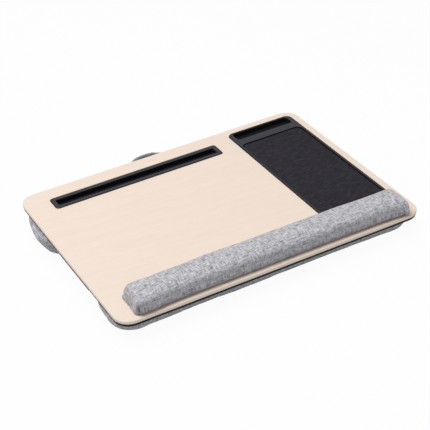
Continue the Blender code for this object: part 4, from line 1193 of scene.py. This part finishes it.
@dataclass
class CarryHandle:
    """The rolled and stitched loop behind the desk, and the flat tabs that hold it under the top.

    Attributes:
        hinge: Where the loop swings, in the board frame.
        droop: How far it hangs below the board's plane at rest.
        lift: How far it arches out of its own plane.
        sag: How far its right side hangs out of that plane.
        sag_from: Where the sag sets in, as a share of half the span.
        power: Exponent of its arc, where 2 is an ellipse.
        rope: Width and thickness of its round part.
        tab: Width and thickness at its roots.
        taper: How far from its roots it turns round.
        stitch: Length and thickness of a stitch.
        pitch: Distance between stitches.
        tab_shape: What StuffedForm takes for a tab, from its corner on.
    """

    hinge: Vector = field(default_factory=lambda: Vector((-19, 223, -8.5)) * MM)
    droop: float = math.radians(22)
    half_span: float = 35.5 * MM
    reach: float = 34 * MM
    lift: float = 0.8 * MM
    sag: float = 8 * MM
    sag_from: float = 0.45
    power: float = 1.8
    rope: Pair = (9.5 * MM, 7.0 * MM)
    tab: Pair = (14 * MM, 2 * MM)
    taper: float = 13 * MM
    steps: int = 72
    sides: int = 28
    stitch: Pair = (2.8 * MM, 0.35 * MM)
    pitch: float = 4.0 * MM
    tab_shape: tuple = (1.0 * MM, (0.9 * MM, 0.9 * MM), 0.1 * MM, (4, 4), 0.0, 2.2, 0.9 * MM)

    def centre_line(self) -> list[Vector]:
        """Places along the loop from the left root to the right one, in the plane of the loop."""
        places = []
        for step in range(self.steps + 1):
            angle = math.pi * (1 - step / self.steps)
            across = abs(math.cos(angle)) ** (2 / self.power) * self.half_span
            across = math.copysign(across, math.cos(angle))
            out = max(math.sin(angle), 0) ** (2 / self.power)
            slack = max(across / self.half_span - self.sag_from, 0) / (1 - self.sag_from)
            places.append(Vector((across, self.reach * out, (self.lift - self.sag * slack) * out)))
        return places

    def stations(self) -> list[Matrix]:
        """Sections of the loop, flat at both roots and round between them."""
        line = self.centre_line()
        plane = Matrix.Translation(self.hinge) @ Matrix.Rotation(-self.droop, 4, "X")
        sections = []
        for number, place in enumerate(line):
            along = line[min(number + 1, self.steps)] - line[max(number - 1, 0)]
            if number in (0, self.steps):
                along = Vector((0, 1 if number == 0 else -1, 0))
            along.normalize()
            side = Vector((along.y, -along.x, 0)).normalized()
            up = side.cross(along)
            from_root = min((place - line[0]).length, (place - line[-1]).length)
            share = ramp(from_root, 0, self.taper)
            wide, thick = (flat + (full - flat) * share for flat, full in zip(self.tab, self.rope))
            turn = Matrix((side * wide / 2, up * thick / 2, along)).transposed().to_4x4()
            sections.append(plane @ Matrix.Translation(place) @ turn)
        return sections

    def stitches(self) -> BMesh:
        """A row of thread down the middle of the loop's upper side."""
        bm = bmesh.new()
        sections = self.stations()
        gone = 0.0
        for before, section in zip(sections, sections[1:]):
            gone += (section.translation - before.translation).length
            if gone < self.pitch:
                continue
            gone -= self.pitch
            along = (section.translation - before.translation).normalized()
            raised = section.col[1].xyz
            place = section.translation + raised + raised.normalized() * self.stitch[1] * 0.3
            turn = along.to_track_quat("X", "Z").to_matrix().to_4x4()
            size = Matrix.Diagonal((self.stitch[0] / 2, self.stitch[1], self.stitch[1], 1))
            matrix = Matrix.Translation(place) @ turn @ size
            bmesh.ops.create_icosphere(bm, subdivisions=2, radius=1, matrix=matrix)
        return bm

    def build(self, linen: Material, thread: Material) -> None:
        """Models the loop on the handle and the tabs on the desk."""
        rope = sweep(self.stations(), self.sides)
        new_piece("handle_rope", rope, linen, "handle", ["handle_loop"])
        new_piece("handle_stitching", self.stitches(), thread, "handle", [])
        for side in ("left", "right"):
            node = f"handle_tab_{side}"
            form = StuffedForm(*board_box(node), Facing.UP, *self.tab_shape)
            new_piece(f"handle_strap_{side}", form.mesh(), linen, "desk", [node])


@dataclass
class Studio:
    """A pale floor, soft lights and the camera at the photograph's place.

    Attributes:
        picture: Width and height of the photograph in pixels.
        floor_share: How much of the floor, as the camera sees it, is plain white instead of shaded.
        room: Strength of the bright room as a light, and as the camera sees it.
    """

    picture: float = 430.0
    focal_px: float = 1223.74
    middle_px: Pair = (190.18, 216.66)
    azimuth: float = math.radians(-26.48)
    elevation: float = math.radians(34.24)
    roll: float = math.radians(-3.835)
    distance: float = 2.202
    target: Vector = field(default_factory=lambda: Vector((-0.05768, -0.0081, 0)))
    sensor_mm: float = 36.0
    floor_colour: str = "CCCCCC"
    floor_share: float = 0.94
    white: str = "FDFDFD"
    white_strength: float = 1.03
    lamp_size: Pair = (3.0, 2.2)
    lamp_place: tuple[float, float, float] = (-0.9, 0.1, 3.4)
    lamp_watts: float = 98
    room: Pair = (0.42, 1.0)
    floor_half: float = 4.0

    def camera(self) -> None:
        """Places the camera where the photograph was taken from, as fitted to the top's edges."""
        az, el = self.azimuth, self.elevation
        back = Vector((math.sin(az) * math.cos(el), -math.cos(az) * math.cos(el), math.sin(el)))
        right = Vector((math.cos(az), math.sin(az), 0))
        up = back.cross(right)
        turned_right = right * math.cos(self.roll) + up * math.sin(self.roll)
        turned_up = -right * math.sin(self.roll) + up * math.cos(self.roll)
        pose = Matrix((turned_right, turned_up, back)).transposed().to_4x4()
        pose.translation = self.target + back * self.distance
        lens = bpy.data.cameras.new("camera")
        lens.sensor_width = self.sensor_mm
        lens.lens = self.focal_px / self.picture * self.sensor_mm
        lens.shift_x = (self.picture / 2 - self.middle_px[0]) / self.picture
        lens.shift_y = (self.middle_px[1] - self.picture / 2) / self.picture
        eye = show("camera", lens)
        eye.matrix_world = TO_ROW @ pose
        bpy.context.scene.camera = eye

    def floor(self) -> None:
        """Lays the floor, which shows white to the camera and still takes the desk's shadow."""
        bm = bmesh.new()
        bmesh.ops.create_grid(bm, x_segments=1, y_segments=1, size=self.floor_half)
        material, tree, shader = new_material("floor_paper_rolled")
        feed(shader, {"Base Color": linear(self.floor_colour), "Roughness": 0.9, "Specular IOR Level": 0.1})
        rays = add(tree, "LightPath").outputs
        seen = add(tree, "Math", {0: rays["Is Camera Ray"], 1: rays["Is Glossy Ray"]}, operation="MAXIMUM")
        share = add(tree, "Math", {0: seen, 1: self.floor_share}, operation="MULTIPLY")
        white = add(tree, "Emission", {"Color": linear(self.white), "Strength": self.white_strength})
        mixed = add(tree, "MixShader", {0: share, 1: shader, 2: white})
        feed(tree.nodes["Material Output"], {"Surface": mixed})
        show_mesh("floor", bm, material)

    def lights(self) -> None:
        """Hangs a large soft light over the left of the desk, and fills in from a plain bright room."""
        lamp = bpy.data.lights.new("key", "AREA")
        lamp.shape = "RECTANGLE"
        lamp.size, lamp.size_y = self.lamp_size
        lamp.energy = self.lamp_watts
        light = show("key", lamp)
        light.location = self.lamp_place
        light.rotation_euler = (-light.location).to_track_quat("-Z", "Y").to_euler()
        world = bpy.data.worlds.new("room")
        world.use_nodes = True
        tree = world.node_tree
        rays = add(tree, "LightPath").outputs
        either = {0: rays["Is Camera Ray"], 1: rays["Is Transmission Ray"]}
        seen = add(tree, "Math", either, operation="MAXIMUM")
        strength = add(tree, "MapRange", {"Value": seen, "To Min": self.room[0], "To Max": self.room[1]})
        feed(tree.nodes["Background"], {"Color": linear(self.white), "Strength": strength})
        bpy.context.scene.world = world
        bpy.context.scene.view_settings.view_transform = "Standard"


def main() -> None:
    """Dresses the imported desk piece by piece, then sets up the studio."""
    logging.basicConfig(level=logging.INFO, format="%(message)s")
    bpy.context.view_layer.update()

    linen = MottledLinen().build()
    strap = MottledLinen("linen_strap_woven", "5C5B62", "84838A", "A09FA6", "504F56").build()
    thread = SpeckledSheet("polyester_thread_spun", "56555B", "3C3B41", 0.5, 0.6).build()
    black = MouldedPlastic("polypropylene_black_moulded", "0C0B0D", 0.6, 0.25).build()
    steel = ZincSteel().build()
    hardboard = SpeckledSheet("fibreboard_pressed", "8F8375", "6A5E50", 1.6, 0.85).build()
    tape = SpeckledSheet("tape_paper_backed", "CFC9B8", "B5AE9B", 0.8, 0.7).build()

    dress(["top_board"], BirchLaminate().build())
    dress(["base_pan"], black)
    # For each insert: flange corner radius, then the levels of painted shade on the flange's rolled edge, on
    # the mouth's edge, of the black painted shade in the trough, and on the strip behind the mouth.
    inserts = {
        "slot_insert": (6 * MM, (-3.3, -1.5), (-0.45, -0.8), (-0.95, -1.25), (1, 2)),
        "pad_tray": (13 * MM, (-3.7, -2.2), (-0.05, -0.5), (-0.65, -0.9), (-8, -6)),
    }
    for node, levels in inserts.items():
        finish = SatinInsert(f"polypropylene_{node}_moulded", *board_box(node), *levels)
        dress([node], finish.build())
    dress([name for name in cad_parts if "_screw_" in name], steel)
    dress(["wrist_rest_plate", "rear_cushion_board", "front_cushion_board"], hardboard)
    dress(["wrist_rest_tape"], tape)

    MousePad().build(EmbossedLeatherette().build())
    CentreFabric().build(linen)
    CarryHandle().build(strap, thread)
    wrist = WristRest()
    left, front = (-1, 0), (0, -1)
    rear_bulges = (
        Bulge(left, 126 * MM, 34 * MM, 7.2 * MM),
        Bulge(left, 52 * MM, 26 * MM, -18 * MM),
        Bulge(front, -300 * MM, 50 * MM, -26 * MM),
    )
    front_bulges = (
        Bulge(left, -195 * MM, 26 * MM, 3.5 * MM),
        Bulge(front, -276 * MM, 28 * MM, 4.5 * MM),
        Bulge(front, -130 * MM, 42 * MM, -3.0 * MM),
        Bulge(front, 90 * MM, 90 * MM, -2.4 * MM),
        Bulge(front, 262 * MM, 24 * MM, 2.5 * MM),
    )
    bolsters = [
        Bolster("rear", (30 * MM, 60 * MM), 4 * MM, rear_bulges),
        Bolster("front", (30 * MM, 45 * MM), 3 * MM, front_bulges),
    ]
    pads = (wrist, *bolsters)
    for pad in pads:
        pad.build(linen)
    inflate([pad.piece for pad in pads], [pad.cap for pad in pads])
    for pad in pads:
        refine(pad.piece, 1)
    wrist.crease()
    for bolster in bolsters:
        bolster.settle()

    studio = Studio()
    studio.camera()
    studio.floor()
    studio.lights()


if __name__ == "__main__":
    main()
